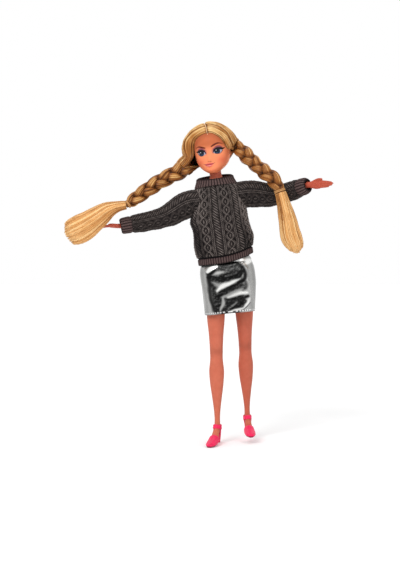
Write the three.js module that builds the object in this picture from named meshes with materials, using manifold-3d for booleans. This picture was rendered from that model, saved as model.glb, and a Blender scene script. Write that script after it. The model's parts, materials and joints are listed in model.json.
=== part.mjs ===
// A fashion doll with two plaits, a knitted sweater, a metallic skirt and high-heeled shoes.
// Millimetres and degrees, +Z up, the doll faces -Y and its own right side is at -X.
// Heights of the trunk are measured from the axis through both hips.
import * as THREE from 'three';
import { mergeVertices } from 'three/addons/utils/BufferGeometryUtils.js';
import Module from 'manifold-3d';

const wasm = await Module();
wasm.setup();

// Fits that every piece shares
const gap = 0.3;
const overrun = 4;
const trunkTiltAngle = 7.66;

// Torso
const hipSide = 12.6;
const torsoBase = 9;
const torsoHeight = 98;
const torsoTop = torsoHeight - torsoBase;
const waistShare = 2 / 7;
const waistRise = torsoHeight * waistShare - torsoBase;
const torsoHalf = 20.5;
const torsoDepth = 14.5;
const torsoWall = 2.2;
const crotchHalf = 2;
const torsoSideShares = [
  [0, 0.12, 0.34, 0.41],
  [0.04, 0.55, 0.55, 0.76],
  [0.11, 0.95, 0.72, 0.93],
  [0.2, 1, 0.8, 0.93],
  [0.3, 0.83, 0.76, 0.8],
  [0.41, 0.66, 0.69, 0.69],
  [0.5, 0.7, 0.76, 0.72],
  [0.62, 0.82, 1, 0.8],
  [0.73, 0.85, 0.88, 0.83],
  [0.83, 0.83, 0.72, 0.79],
  [0.9, 0.72, 0.59, 0.66],
  [0.94, 0.42, 0.45, 0.48],
];

// Neck and head joint
const neckSeat = 1;
const neckPivotRise = torsoTop - neckSeat;
const neckBall = 4.6;
const neckRadius = 5.2;
const neckGroove = 3.6;
const neckStubRadius = 7.2;
const neckLength = 9.2;
const headFloorRise = neckPivotRise + neckLength;
const headFloor = 2.2;
const knobHeight = 4.2;
const neckKnobRise = headFloorRise + headFloor + knobHeight;

// Head, measured up from the chin
const chinBelowFloor = 4.4;
const chinRise = headFloorRise - chinBelowFloor;
const headHeight = 43.5;
const headHalf = 16.2;
const headDepth = 19;
const headWall = 1.8;
const headYawAngle = 12;
const headShares = [
  [0, 0.21, 0.66, -0.25],
  [0.05, 0.4, 0.75, 0],
  [0.115, 0.58, 0.77, 0.3],
  [0.19, 0.74, 0.79, 0.58],
  [0.28, 0.86, 0.82, 0.76],
  [0.39, 0.945, 0.84, 0.89],
  [0.5, 0.99, 0.85, 0.97],
  [0.62, 1, 0.84, 1],
  [0.74, 0.95, 0.77, 0.96],
  [0.85, 0.8, 0.61, 0.82],
  [0.94, 0.52, 0.36, 0.53],
];
const earHeight = 7.4;
const earReach = 2;
const earDepth = 4;
const earRiseShare = 0.38;
const earBackShare = -0.04;
const earSideShare = 0.945;

// Hair caps, as shares of hair height, side reach and head depth
const hairHeight = 47.2;
const hairRightReach = 28.2;
const hairLeftReach = 24;
const hairFront = 18.4;
const hairBack = 23.4;
const partingWidth = 0.7;
const hairShares = [
  [0.11, 0.56, 0.2, 0.66],
  [0.21, 0.78, 0.45, 0.81],
  [0.36, 0.93, 0.76, 0.94],
  [0.51, 1, 0.93, 1],
  [0.66, 0.93, 1, 1],
  [0.79, 0.76, 0.94, 0.9],
  [0.89, 0.56, 0.71, 0.7],
  [0.965, 0.29, 0.38, 0.38],
];
// The line in side view below which no hair grows: depth over head depth, rise over head height
const hairlineShares = [
  [-2.4, 0.79],
  [-0.7, 0.78],
  [-0.5, 0.67],
  [-0.36, 0.56],
  [-0.2, 0.485],
  [0.12, 0.46],
  [0.2, 0.36],
  [0.2, 0.27],
  [0.6, 0.18],
  [1.6, 0.13],
  [1.6, -0.4],
  [-2.4, -0.4],
];

// Plaits and tails: places are measured out from the neck and up from the chin
const rightRootSide = -29.6;
const rightRootDepth = 0;
const rightRootRise = 11.8;
const rightPlaitOut = -53;
const rightPlaitForward = -13.5;
const rightPlaitFall = -30.6;
const rightTailOut = -54.8;
const rightTailForward = -2.5;
const rightTailFall = -20;
const rightPlaitHalf = 6.6;
const rightPlaitThick = 4.4;
const rightTailHalf = 11.6;
const rightTailThick = 3.3;
const rightPathShares = [
  [0, 0, 0],
  [0.2, 0.22, 0.22],
  [0.39, 0.44, 0.39],
  [0.58, 0.64, 0.57],
  [0.77, 0.8, 0.76],
  [1, 1, 1],
];
const rightTailPathShares = [[0, 0, 0], [0.22, 0.2, 0.17], [0.47, 0.5, 0.5], [0.74, 0.8, 0.83], [1, 1, 1]];
const rightTailWidthShares = [
  [0, 0.26, 1],
  [0.15, 0.5, 1],
  [0.35, 0.92, 1],
  [0.6, 1, 0.8],
  [0.8, 0.76, 0.7],
  [0.93, 0.5, 0.5],
];
const leftRootSide = 26.4;
const leftRootDepth = -6;
const leftRootRise = 13.2;
const leftPlaitOut = 25.4;
const leftPlaitForward = -26;
const leftPlaitFall = -41.4;
const leftTailOut = 9.6;
const leftTailBack = 7;
const leftTailFall = -55;
const leftPlaitHalf = 6.3;
const leftPlaitThick = 4.2;
const leftTailHalf = 9.4;
const leftTailThick = 3.4;
const leftPathShares = [
  [0, 0, 0],
  [0.23, 0.3, 0.21],
  [0.46, 0.62, 0.4],
  [0.65, 0.84, 0.58],
  [0.84, 0.97, 0.78],
  [1, 1, 1],
];
const leftTailPathShares = [[0, 0, 0], [0.16, 0.1, 0.24], [0.25, 0.3, 0.5], [0.5, 0.7, 0.74], [1, 1, 1]];
const leftTailWidthShares = [
  [0, 0.36, 1],
  [0.15, 0.62, 1],
  [0.35, 0.86, 1],
  [0.6, 1, 0.9],
  [0.8, 1, 0.7],
  [0.95, 0.62, 0.5],
];
const plaits = {
  right: {
    root: [rightRootSide, rightRootDepth, rightRootRise],
    span: [rightPlaitOut, rightPlaitForward, rightPlaitFall],
    tailSpan: [rightTailOut, rightTailForward, rightTailFall],
    half: rightPlaitHalf,
    thick: rightPlaitThick,
    tailHalf: rightTailHalf,
    tailThick: rightTailThick,
    pathShares: rightPathShares,
    tailPathShares: rightTailPathShares,
    tailWidthShares: rightTailWidthShares,
  },
  left: {
    root: [leftRootSide, leftRootDepth, leftRootRise],
    span: [leftPlaitOut, leftPlaitForward, leftPlaitFall],
    tailSpan: [leftTailOut, leftTailBack, leftTailFall],
    half: leftPlaitHalf,
    thick: leftPlaitThick,
    tailHalf: leftTailHalf,
    tailThick: leftTailThick,
    pathShares: leftPathShares,
    tailPathShares: leftTailPathShares,
    tailWidthShares: leftTailWidthShares,
  },
};
const plaitWidthShares = [
  [0.085, 0.62],
  [0.13, 0.9],
  [0.25, 1],
  [0.5, 1],
  [0.75, 0.92],
  [0.86, 0.8],
  [0.925, 0.55],
];
const bandNeck = 2.6;
const bandThick = 1.2;
const rootBandShares = [0.012, 0.07];
const tieBandShares = [0.94, 0.99];
const gatherHalf = 7.5;
const gatherBack = 4;
const gatherStartShares = { side: 0.577, rise: 0.508 };
const gatherShares = [[0, 0.7], [0.3, 1], [0.55, 0.86], [0.78, 0.62], [1, 0.36]];

// Shoulders and arms
const shoulderSide = 20.5;
const shoulderBelowTop = 17.4;
const shoulderRise = torsoTop - shoulderBelowTop;
const discRadius = 5;
const discThick = 3.2;
const discSide = 8;
const discStem = 3.6;
const yokeHalf = 3.3;
const tabHalf = 1.6;
const tabRadius = 3.3;
const pinRadius = 1.1;
const armRoot = 5.2;
const upperArm = 30;
const foreArm = 40;
const handLength = 23;
const armHalf = 5;
const armShares = [
  [0, 0.7],
  [0.05, 0.95],
  [0.2, 1],
  [0.4, 0.86],
  [0.5, 0.84],
  [0.65, 0.78],
  [0.85, 0.58],
  [1, 0.52],
];
const handHalf = 4.1;
const handThick = 2;
const handShares = [
  [0.02, 0.66, 1.2],
  [0.2, 0.84, 1.1],
  [0.42, 1, 1],
  [0.6, 0.95, 0.75],
  [0.8, 0.8, 0.6],
  [0.94, 0.56, 0.45],
];
const thumbLength = 9;
const thumbHalf = 1.5;
const thumbPlaceShare = 0.25;
const thumbShares = [[0, 1.3], [0.5, 1], [1, 0.6]];
const armAngles = {
  right: { drop: 20, forward: 0, bendForward: 6, bendUp: 14, handDrop: -12, thumbTurn: -40 },
  left: { drop: 7.4, forward: 16, bendForward: 27, bendUp: 9, handDrop: 5, thumbTurn: 40 },
};

// Sleeves and cuffs
const sleeveRoot = 20.8;
const armholeSpare = 0.7;
const sleeveHalf = 12;
const sleeveWall = 1.8;
const cuffLength = 8.6;
const cuffHalf = 6.9;
const cuffWall = 1.6;
const sleeveShares = [
  [0, 0.99],
  [0.08, 1],
  [0.2, 0.98],
  [0.36, 0.9],
  [0.52, 0.78],
  [0.7, 0.72],
  [0.88, 0.68],
  [1, 0.6],
];

// Sweater
const hemBelowWaist = 7.4;
const hemBase = waistRise - hemBelowWaist;
const hemHeight = 6;
const hemTop = hemBase + hemHeight;
const collarBelowTop = 5.4;
const sweaterTop = torsoTop - collarBelowTop;
const hemLiftRight = 1.5;
const hemLiftLeft = 4.6;
const hemLowest = -6;
const sweaterSideEase = 6.5;
const sweaterHalf = torsoHalf + sweaterSideEase;
const sweaterFrontEase = 3;
const sweaterDepth = torsoDepth + sweaterFrontEase;
const knitWall = 1.8;
const sweaterShares = [
  [0, 0.965, 0.9, 0.97, 0.97],
  [0.16, 1.02, 0.97, 0.98, 0.96],
  [0.31, 1, 0.91, 0.98, 0.93],
  [0.46, 0.98, 0.87, 1.02, 0.93],
  [0.6, 0.92, 0.86, 1.04, 0.94],
  [0.73, 0.87, 0.86, 1, 0.95],
  [0.83, 0.86, 0.86, 0.92, 0.92],
  [0.91, 0.84, 0.84, 0.84, 0.86],
  [0.96, 0.79, 0.79, 0.76, 0.8],
  [1, 0.68, 0.68, 0.7, 0.74],
];
const hemLeftShare = 0.89;
const collarHeight = 7.9;
const collarHalf = 18.4;
const collarDepth = 14;
const collarWall = 2;
const collarSlantAngle = 11;
const collarShares = [[0, 1, 1], [0.3, 0.91, 0.93], [0.65, 0.8, 0.86], [1, 0.74, 0.84]];
const fasteningWidth = 5;
const fasteningThick = 1.1;
const fasteningShares = [0.1, 0.9];

// Skirt
const skirtTop = waistRise;
const skirtDrop = 33;
const skirtSideEase = 4.4;
const skirtHalf = torsoHalf + skirtSideEase;
const skirtFrontEase = 2.5;
const skirtDepth = torsoDepth + skirtFrontEase;
const skirtWall = 0.9;
const skirtShift = 4.1;
const skirtSlantAngle = 2.6;
const skirtShares = [
  [0, 0.75, 0, 0.76, 0.78, 2],
  [0.1, 0.91, 0.25, 0.865, 0.865, 2],
  [0.135, 0.915, 0.25, 0.87, 0.87, 2],
  [0.18, 0.97, 0.1, 0.93, 0.95, 2.1],
  [0.23, 1, 0.03, 0.97, 1, 2.2],
  [0.45, 0.995, 0.18, 0.96, 1.08, 2.6],
  [0.72, 0.96, 0.55, 0.92, 1.2, 3],
  [1, 0.92, 0.92, 0.88, 1.3, 3.2],
];
const waistbandHeight = 4.6;
const waistbandWall = 1;
const zipWidth = 3.4;
const zipThick = 0.9;
const zipShares = [0.3, 0.78];

// Hip joint
const barRadius = 1.9;
const rivetRadius = 3;
const rivetThick = 1.4;
const rivetSide = 17.4;
const hipBall = 4.4;
const legClearance = 0.7;
const bendForwardAngle = 92;
const bendBackAngle = 24;

// Legs, measured down from the hip
const legSwingAngles = { right: 0, left: 10 };
const legLeanAngles = { right: 0.8, left: 2.2 };
const kneeDrop = 66;
const shinLength = 66;
const ankleDrop = kneeDrop + shinLength;
const thighHalf = 9.6;
const calfHalf = 6.75;
const boreRadius = 3;
const thighShares = [
  [0, 1, 1, 1],
  [0.15, 0.95, 0.98, 1.04],
  [0.38, 0.88, 0.93, 0.97],
  [0.56, 0.83, 0.86, 0.87],
  [0.76, 0.7, 0.74, 0.73],
  [0.92, 0.63, 0.66, 0.64],
];
const shinShares = [
  [0, 0.87, 0.92, 0.86],
  [0.09, 0.845, 0.83, 0.98],
  [0.27, 1, 0.83, 1.21],
  [0.44, 0.9, 0.77, 1.08],
  [0.64, 0.64, 0.62, 0.71],
  [0.82, 0.43, 0.5, 0.53],
  [0.925, 0.37, 0.49, 0.5],
  [1.01, 0.4, 0.56, 0.54],
];
const kneeSlotHalf = 2.8;
const kneeBendAngle = 70;
const rodRadius = 2.1;
const clevisHalf = 2.5;
const tongueHalf = 1;
const kneeEye = 3.4;
const kneePinRadius = 0.9;
const kneePinHalf = 4.4;
const shinBoreAbove = 20;
const shinBoreDrop = ankleDrop - shinBoreAbove;
const kneeStop = 0.6;

// Feet and shoes
const heelBack = 4.6;
const footLength = 33.4;
const footHalf = 4.1;
const footAboveAnkle = 1.4;
const footHeight = 16.5;
const footTopDrop = ankleDrop - footAboveAnkle;
const footSoleDrop = footTopDrop + footHeight;
const footSplayAngles = { right: 15, left: 2 };
const footShares = [
  [0, 0.25, 0.2, 0.42],
  [0.05, 0.5, 0.12, 0.48],
  [0.23, 0.68, 0.03, 0.68],
  [0.32, 0.72, 0.24, 0.78],
  [0.41, 0.81, 0.45, 0.865],
  [0.53, 0.92, 0.61, 0.955],
  [0.68, 1, 0.745, 1],
  [0.9, 0.86, 0.87, 1],
  [1, 0.35, 0.94, 0.99],
];
const shoeWall = 1.1;
const soleThick = 1.7;
const soleWear = 0.4;
const soleDrop = footSoleDrop + soleThick - soleWear;
const strapHeight = 4;
const strapWall = 1;
const vampShares = [
  [0.33, -0.22],
  [0.33, 0.265],
  [0.17, 0.265],
  [0.2, 0.54],
  [0.38, 0.78],
  [0.48, 0.73],
  [0.515, 0.51],
  [0.515, -0.22],
];
const heelTopHalf = 3;
const heelTipHalf = 1.9;
const heelPlaceShare = 0.07;
const heelRise = 10.6;

// Facets round a section
const fine = 18;
const medium = 12;
const coarse = 8;
const footSides = 10;

// Colours and finishes
const skin = new THREE.MeshStandardMaterial({ color: 0xd9744f, roughness: 0.45 });
const torsoPlastic = new THREE.MeshStandardMaterial({ color: 0xd67a52, roughness: 0.4 });
const jointPlastic = new THREE.MeshStandardMaterial({ color: 0xd8cfc0, roughness: 0.5 });
const steel = new THREE.MeshStandardMaterial({ color: 0xa9a9a9, roughness: 0.35, metalness: 1 });
const hair = new THREE.MeshStandardMaterial({ color: 0xc08a50, roughness: 0.5 });
const elastic = new THREE.MeshStandardMaterial({ color: 0xd9a565, roughness: 0.6 });
const knit = new THREE.MeshStandardMaterial({ color: 0x4c4545, roughness: 0.95 });
const foil = new THREE.MeshStandardMaterial({ color: 0xb9b9b6, roughness: 0.2, metalness: 1 });
const tape = new THREE.MeshStandardMaterial({ color: 0x2c2a2b, roughness: 0.9 });
const shoePlastic = new THREE.MeshStandardMaterial({ color: 0xfa4069, roughness: 0.35 });

const axisX = new THREE.Vector3(1, 0, 0);
const axisY = new THREE.Vector3(0, 1, 0);
const axisZ = new THREE.Vector3(0, 0, 1);
const radians = THREE.MathUtils.degToRad;
const sideSigns = { right: -1, left: 1 };

// The faces between neighbouring rings with equal counts.
function bands(rings, closed) {
  const count = rings[0].length;
  const index = [];
  for (let band = 0; band < rings.length - Number(!closed); band += 1) {
    const low = band * count;
    const high = ((band + 1) % rings.length) * count;
    for (let i = 0; i < count; i += 1) {
      const next = (i + 1) % count;
      index.push(low + i, low + next, high + next, low + i, high + next, high + i);
    }
  }
  return index;
}

function facingOut(places, index) {
  const geometry = new THREE.BufferGeometry().setFromPoints(places);
  return geometry.setIndex(signedVolume(places, index) < 0 ? index.reverse() : index);
}

// A closed solid from a list of rings; each end is closed by a fan.
function loft(rings) {
  const count = rings[0].length;
  const places = rings.flat();
  const index = bands(rings, false);
  for (const [ring, first] of [[rings[0], 0], [rings.at(-1), (rings.length - 1) * count]]) {
    places.push(ring.reduce((sum, place) => sum.add(place), new THREE.Vector3()).divideScalar(count));
    for (let i = 0; i < count; i += 1) {
      const next = (i + 1) % count;
      const pair = first === 0 ? [next, i] : [i, next];
      index.push(places.length - 1, first + pair[0], first + pair[1]);
    }
  }
  return facingOut(places, index);
}

// A wall between two sets of rings, open at both ends.
function wallBetween(outer, inner) {
  const rings = [...outer, ...[...inner].reverse()];
  return facingOut(rings.flat(), bands(rings, true));
}

function signedVolume(places, index) {
  let total = 0;
  for (let i = 0; i < index.length; i += 3) {
    const [a, b, c] = [places[index[i]], places[index[i + 1]], places[index[i + 2]]];
    total += a.dot(new THREE.Vector3().crossVectors(b, c));
  }
  return total;
}

// One ring about a centre, with its own reach to each of four sides; over 2 it is squarer than an ellipse.
function ring(centre, across, along, reach, sides, squareness = 2) {
  const blunt = (value) => Math.sign(value) * Math.abs(value) ** (2 / squareness);
  return Array.from({ length: sides }, (_, i) => {
    const turn = (2 * Math.PI * i) / sides;
    const wide = blunt(Math.cos(turn)) * (Math.cos(turn) > 0 ? reach.plus : reach.minus);
    const deep = blunt(Math.sin(turn)) * (Math.sin(turn) > 0 ? reach.back : reach.front);
    return centre.clone().addScaledVector(across, wide).addScaledVector(along, deep);
  });
}

// Rings stacked upwards, from rows of height and reaches.
function stackRings(rows, sides) {
  return rows.map((row) => ring(new THREE.Vector3(0, 0, row.at), axisX, axisY, row, sides));
}

function stack(rows, sides) {
  return loft(stackRings(rows, sides));
}

function even(at, half, front = half, back = front) {
  return { at, plus: half, minus: half, front, back };
}

// Rows drawn in by a wall, for the inside of a hollow piece.
function inset(rows, wall) {
  return rows.map((row) => ({
    ...row,
    plus: row.plus - wall,
    minus: row.minus - wall,
    front: row.front - wall,
    back: row.back - wall,
  }));
}

// The same rows run on past both ends, so that a cut goes right through.
function overrunEnds(rows) {
  const sorted = [...rows].sort((a, b) => a.at - b.at);
  const low = { ...sorted[0], at: sorted[0].at - overrun };
  const high = { ...sorted.at(-1), at: sorted.at(-1).at + overrun };
  return [low, ...sorted, high];
}

// Rings along a curve: rows hold the share along it and the half-width and half-depth there.
function curveRings(curve, rows, sides, across = axisY) {
  return rows.map(([share, wide, deep = wide]) => {
    const centre = curve.getPointAt(share);
    const tangent = curve.getTangentAt(share);
    const depthWay = across.clone().addScaledVector(tangent, -across.dot(tangent)).normalize();
    const widthWay = new THREE.Vector3().crossVectors(depthWay, tangent);
    return ring(centre, widthWay, depthWay, { plus: wide, minus: wide, front: deep, back: deep }, sides);
  });
}

function alongCurve(curve, rows, sides, across = axisY) {
  return loft(curveRings(curve, rows, sides, across));
}

// A tube with a wall along a curve, open at both ends.
function hollowTube(curve, rows, wall, sides) {
  const inner = rows.map(([share, half]) => [share, half - wall]);
  return wallBetween(curveRings(curve, rows, sides), curveRings(curve, inner, sides));
}

function curveFrom(start, span, shares) {
  return new THREE.CatmullRomCurve3(shares.map(([x, y, z]) => new THREE.Vector3(
    start.x + span.x * x,
    start.y + span.y * y,
    start.z + span.z * z,
  )));
}

function solid(geometry) {
  const bare = geometry.index ? geometry.toNonIndexed() : geometry.clone();
  bare.deleteAttribute('normal');
  bare.deleteAttribute('uv');
  const merged = mergeVertices(bare);
  return new wasm.Manifold(new wasm.Mesh({
    numProp: 3,
    vertProperties: merged.attributes.position.array,
    triVerts: new Uint32Array(merged.index.array),
  }));
}

function geometryOf(body) {
  const made = body.getMesh();
  const geometry = new THREE.BufferGeometry();
  geometry.setAttribute('position', new THREE.BufferAttribute(made.vertProperties, 3));
  geometry.setIndex(new THREE.BufferAttribute(made.triVerts, 1));
  return geometry;
}

function cut(base, ...tools) {
  return geometryOf(tools.reduce((body, tool) => body.subtract(solid(tool)), solid(base)));
}

function join(...pieces) {
  return geometryOf(pieces.slice(1).reduce((body, next) => body.add(solid(next)), solid(pieces[0])));
}

function common(first, second) {
  return geometryOf(solid(first).intersect(solid(second)));
}

function block(low, high) {
  const size = high.clone().sub(low);
  const centre = high.clone().add(low).multiplyScalar(0.5);
  return new THREE.BoxGeometry(size.x, size.y, size.z).translate(centre.x, centre.y, centre.z);
}

// A round rod along an axis from one place on it to another.
function rod(axis, radius, from, to, centre = new THREE.Vector3(), sides = coarse, endRadius = radius) {
  const geometry = new THREE.CylinderGeometry(endRadius, radius, to - from, sides);
  geometry.translate(0, (to + from) / 2, 0);
  geometry.applyQuaternion(new THREE.Quaternion().setFromUnitVectors(axisY, axis));
  return geometry.translate(centre.x, centre.y, centre.z);
}

function ball(radius, centre, sides = medium) {
  const geometry = new THREE.SphereGeometry(radius, sides, sides / 2).rotateX(Math.PI / 2);
  return geometry.translate(centre.x, centre.y, centre.z);
}

// A side view of depth and height, run across the doll from one side to another.
function profile(outline, from, to) {
  const shape = new THREE.Shape(outline.map(([depth, rise]) => new THREE.Vector2(depth, rise)));
  const geometry = new THREE.ExtrudeGeometry(shape, { depth: to - from, bevelEnabled: false });
  geometry.applyMatrix4(new THREE.Matrix4().makeBasis(axisY, axisZ, axisX));
  return geometry.translate(from, 0, 0);
}

function group(parent, name, position = new THREE.Vector3()) {
  const made = new THREE.Group();
  made.name = name;
  made.position.copy(position);
  parent.add(made);
  return made;
}

function piece(parent, name, geometry, material) {
  const mesh = new THREE.Mesh(geometry, material);
  mesh.name = name;
  parent.add(mesh);
  return mesh;
}

// The side view that a thigh sweeps as it bends: a disc about the hip and the fan below it.
function legSweep() {
  const radius = thighHalf + legClearance;
  const reach = torsoDepth + torsoHeight;
  const forward = radians(bendForwardAngle);
  const backward = radians(bendBackAngle);
  const arc = Array.from({ length: coarse + 1 }, (_, i) => {
    const turn = THREE.MathUtils.lerp(backward, Math.PI - forward, i / coarse);
    return [radius * Math.cos(turn), radius * Math.sin(turn)];
  });
  const [backDepth, backRise] = arc[0];
  const [frontDepth, frontRise] = arc.at(-1);
  const backEnd = [backDepth + reach * Math.sin(backward), backRise - reach * Math.cos(backward)];
  const frontEnd = [frontDepth - reach * Math.sin(forward), frontRise - reach * Math.cos(forward)];
  return [...arc, frontEnd, [frontEnd[0], backEnd[1]], backEnd];
}

const doll = new THREE.Group();
const trunk = group(doll, 'trunk');
trunk.rotation.y = -radians(trunkTiltAngle);

// Torso: two hollow shells that meet at the sides, with sockets for neck, shoulders and hips.
function torsoRows() {
  return torsoSideShares.map(([rise, half, front, back]) => even(
    torsoHeight * rise - torsoBase,
    torsoHalf * half,
    torsoDepth * front,
    torsoDepth * back,
  ));
}

function makeTorso() {
  const rows = torsoRows();
  const top = rows.at(-1).at;
  const stub = [even(top - overrun, neckStubRadius), even(neckPivotRise + gap, neckStubRadius)];
  const outside = join(stack(rows, fine), stack(stub, medium));
  const inside = stack(inset(rows.slice(2, -1), torsoWall), medium);
  const neckCentre = new THREE.Vector3(0, 0, neckPivotRise);
  const cutters = [
    inside,
    ball(neckBall + gap, neckCentre, medium),
    rod(axisZ, neckGroove, rows.at(-2).at - torsoWall - overrun, neckPivotRise, new THREE.Vector3(), coarse),
    rod(axisX, barRadius + gap, -torsoHalf, torsoHalf),
  ];
  for (const sign of Object.values(sideSigns)) {
    const limits = [sign * crotchHalf, sign * (torsoHalf + overrun)].sort((a, b) => a - b);
    cutters.push(profile(legSweep(), ...limits));
    const shoulder = new THREE.Vector3(0, 0, shoulderRise);
    const way = axisX.clone().multiplyScalar(sign);
    cutters.push(rod(way, discStem + gap, 0, torsoHalf, shoulder));
  }
  const hollow = cut(outside, ...cutters);
  const low = new THREE.Vector3(-torsoHeight, -torsoHeight, -torsoHeight);
  const high = new THREE.Vector3(torsoHeight, torsoHeight, torsoHeight);
  const frontHalf = block(low, new THREE.Vector3(high.x, -gap / 2, high.z));
  const backHalf = block(new THREE.Vector3(low.x, gap / 2, low.z), high);
  piece(trunk, 'torso_front', common(hollow, frontHalf), torsoPlastic);
  piece(trunk, 'torso_back', common(hollow, backHalf), torsoPlastic);
}

// Neck: a ball in the torso, a visible neck, and a groove and knob inside the head.
const neck = group(trunk, 'neck_pivot', new THREE.Vector3(0, 0, neckPivotRise));

function makeNeck() {
  const floor = headFloorRise - neckPivotRise;
  const base = neckBall * Math.cos(Math.asin(neckGroove / neckBall));
  const outline = [
    [0, -neckBall],
    [neckBall * Math.SQRT1_2, -neckBall * Math.SQRT1_2],
    [neckBall, 0],
    [neckGroove, base],
    [neckRadius, base + gap * 2],
    [neckRadius, floor - gap],
    [neckGroove, floor - gap],
    [neckGroove, floor + headFloor + gap],
    [neckRadius, floor + headFloor + gap],
    [neckGroove, neckKnobRise - neckPivotRise],
    [0, neckKnobRise - neckPivotRise],
  ];
  const lathe = new THREE.LatheGeometry(outline.map(([x, y]) => new THREE.Vector2(x, y)), medium);
  piece(neck, 'neck_post', lathe.rotateX(Math.PI / 2), skin);
}

// Head: a soft hollow head and two hair caps that meet at the parting.
const head = group(neck, 'head_turn', new THREE.Vector3(0, 0, chinRise - neckPivotRise));
head.rotation.z = -radians(headYawAngle);

function headRows() {
  return headShares.map(([rise, half, front, back]) => even(
    headHeight * rise,
    headHalf * half,
    headDepth * front,
    headDepth * back,
  ));
}

function headSurface(spare) {
  const rings = headRows().map((row) => {
    const middle = (row.back - row.front) / 2;
    const deep = (row.back + row.front) / 2 + spare;
    const reach = { plus: row.plus + spare, minus: row.minus + spare, front: deep, back: deep };
    return ring(new THREE.Vector3(0, middle, row.at), axisX, axisY, reach, fine);
  });
  const chin = rings[0].map((place) => place.clone().setZ(place.z - spare));
  const crown = new THREE.Vector3(0, 0, headHeight + spare);
  return loft([chin, ...rings.slice(1), rings[0].map(() => crown.clone())]);
}

function makeHead() {
  const floor = headFloorRise - chinRise;
  const earCentre = new THREE.Vector3(0, headDepth * earBackShare, headHeight * earRiseShare);
  const ears = (spare) => Object.values(sideSigns).map((sign) => {
    const ear = new THREE.SphereGeometry(1, coarse, coarse / 2);
    ear.scale(earReach + spare, earDepth / 2 + spare, earHeight / 2 + spare);
    return ear.translate(sign * headHalf * earSideShare, earCentre.y, earCentre.z);
  });
  const above = block(
    new THREE.Vector3(-headHeight, -headHeight, floor + headFloor),
    new THREE.Vector3(headHeight, headHeight, headHeight),
  );
  const shell = cut(
    join(headSurface(0), ...ears(0)),
    common(headSurface(-headWall), above),
    rod(axisZ, neckGroove + gap, -overrun, floor + headFloor + overrun, new THREE.Vector3(), medium),
    rod(axisZ, neckRadius + gap, -overrun, floor, new THREE.Vector3(), medium),
  );
  piece(head, 'head_shell', shell, skin);

  const parting = block(
    new THREE.Vector3(-partingWidth / 2, -headHeight, -headHeight),
    new THREE.Vector3(partingWidth / 2, headHeight, headHeight * 2),
  );
  const below = profile(
    hairlineShares.map(([depth, rise]) => [headDepth * depth, headHeight * rise]),
    -headHeight,
    headHeight,
  );
  const crown = even(hairHeight, 0);
  const rows = hairShares.map(([rise, side, front, back]) => ({
    at: hairHeight * rise,
    plus: hairLeftReach * side,
    minus: hairRightReach * side,
    front: hairFront * front,
    back: hairBack * back,
  }));
  const mass = stack([...rows, crown], fine);
  const trimmed = cut(mass, headSurface(gap), below, parting, ...ears(gap));
  for (const [name, sign] of Object.entries(sideSigns)) {
    const limits = [0, sign * headHeight].sort((a, b) => a - b);
    const half = block(
      new THREE.Vector3(limits[0], -headHeight, -headHeight),
      new THREE.Vector3(limits[1], headHeight, headHeight * 2),
    );
    const gather = cut(gatherLobe(name), headSurface(gap), ...ears(gap));
    piece(head, `hair_${name}`, join(common(trimmed, half), gather), hair);
  }
}

// The hair drawn together from the cap to the band at the root of a plait.
function gatherLobe(name) {
  const toHead = (place) => place.clone().applyAxisAngle(axisZ, radians(headYawAngle));
  const curve = plaitCurve(name);
  const end = toHead(curve.getPointAt(0).addScaledVector(curve.getTangentAt(0), -gap));
  const inner = new THREE.Vector3(
    gatherStartShares.side * (name === 'left' ? hairLeftReach : -hairRightReach),
    gatherBack,
    gatherStartShares.rise * hairHeight,
  );
  const approach = toHead(curve.getPointAt(0).addScaledVector(curve.getTangentAt(0), -overrun));
  const path = new THREE.CatmullRomCurve3([inner, approach, end]);
  return alongCurve(path, gatherShares.map(([share, half]) => [share, gatherHalf * half]), coarse);
}

// Plaits, their bands and the loose tails.
function plaitCurve(name) {
  const plait = plaits[name];
  return curveFrom(new THREE.Vector3(...plait.root), new THREE.Vector3(...plait.span), plait.pathShares);
}

const plaitFrame = group(neck, 'plait_frame', new THREE.Vector3(0, 0, chinRise - neckPivotRise));

function makePlait(name) {
  const plait = plaits[name];
  const curve = plaitCurve(name);
  const rows = [
    [0, bandNeck],
    [rootBandShares[1] + gap / curve.getLength(), bandNeck],
    ...plaitWidthShares.map(([share, wide]) => [share, plait.half * wide, plait.thick * wide]),
    [tieBandShares[0] - gap / curve.getLength(), bandNeck],
    [1, bandNeck],
  ];
  piece(plaitFrame, `plait_${name}`, alongCurve(curve, rows, coarse), hair);
  for (const [label, shares] of [['root_band', rootBandShares], ['tie_band', tieBandShares]]) {
    const middle = (shares[0] + shares[1]) / 2;
    const outer = bandNeck + gap + bandThick;
    const band = [[shares[0], outer - bandThick / 2], [middle, outer], [shares[1], outer - bandThick / 2]];
    const hole = shares.map((share) => [share, bandNeck + gap]);
    const rings = wallBetween(curveRings(curve, band, coarse), curveRings(curve, hole, coarse));
    piece(plaitFrame, `${label}_${name}`, rings, elastic);
  }
  const start = curve.getPointAt(1).addScaledVector(curve.getTangentAt(1), gap);
  const tailCurve = curveFrom(start, new THREE.Vector3(...plait.tailSpan), plait.tailPathShares);
  tailCurve.points.splice(1, 0, start.clone().addScaledVector(curve.getTangentAt(1), overrun));
  const tailRows = plait.tailWidthShares.map(([share, wide, deep]) => [
    share,
    plait.tailHalf * wide,
    plait.tailThick * deep,
  ]);
  piece(plaitFrame, `tail_${name}`, alongCurve(tailCurve, tailRows, coarse), hair);
}

// Arms: a disc that turns in the torso, a pin, and a soft one-piece arm with its hand.
function aim(sign, forward, drop) {
  return new THREE.Vector3(
    sign * Math.cos(radians(forward)) * Math.cos(radians(drop)),
    -Math.sin(radians(forward)) * Math.cos(radians(drop)),
    -Math.sin(radians(drop)),
  );
}

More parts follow.
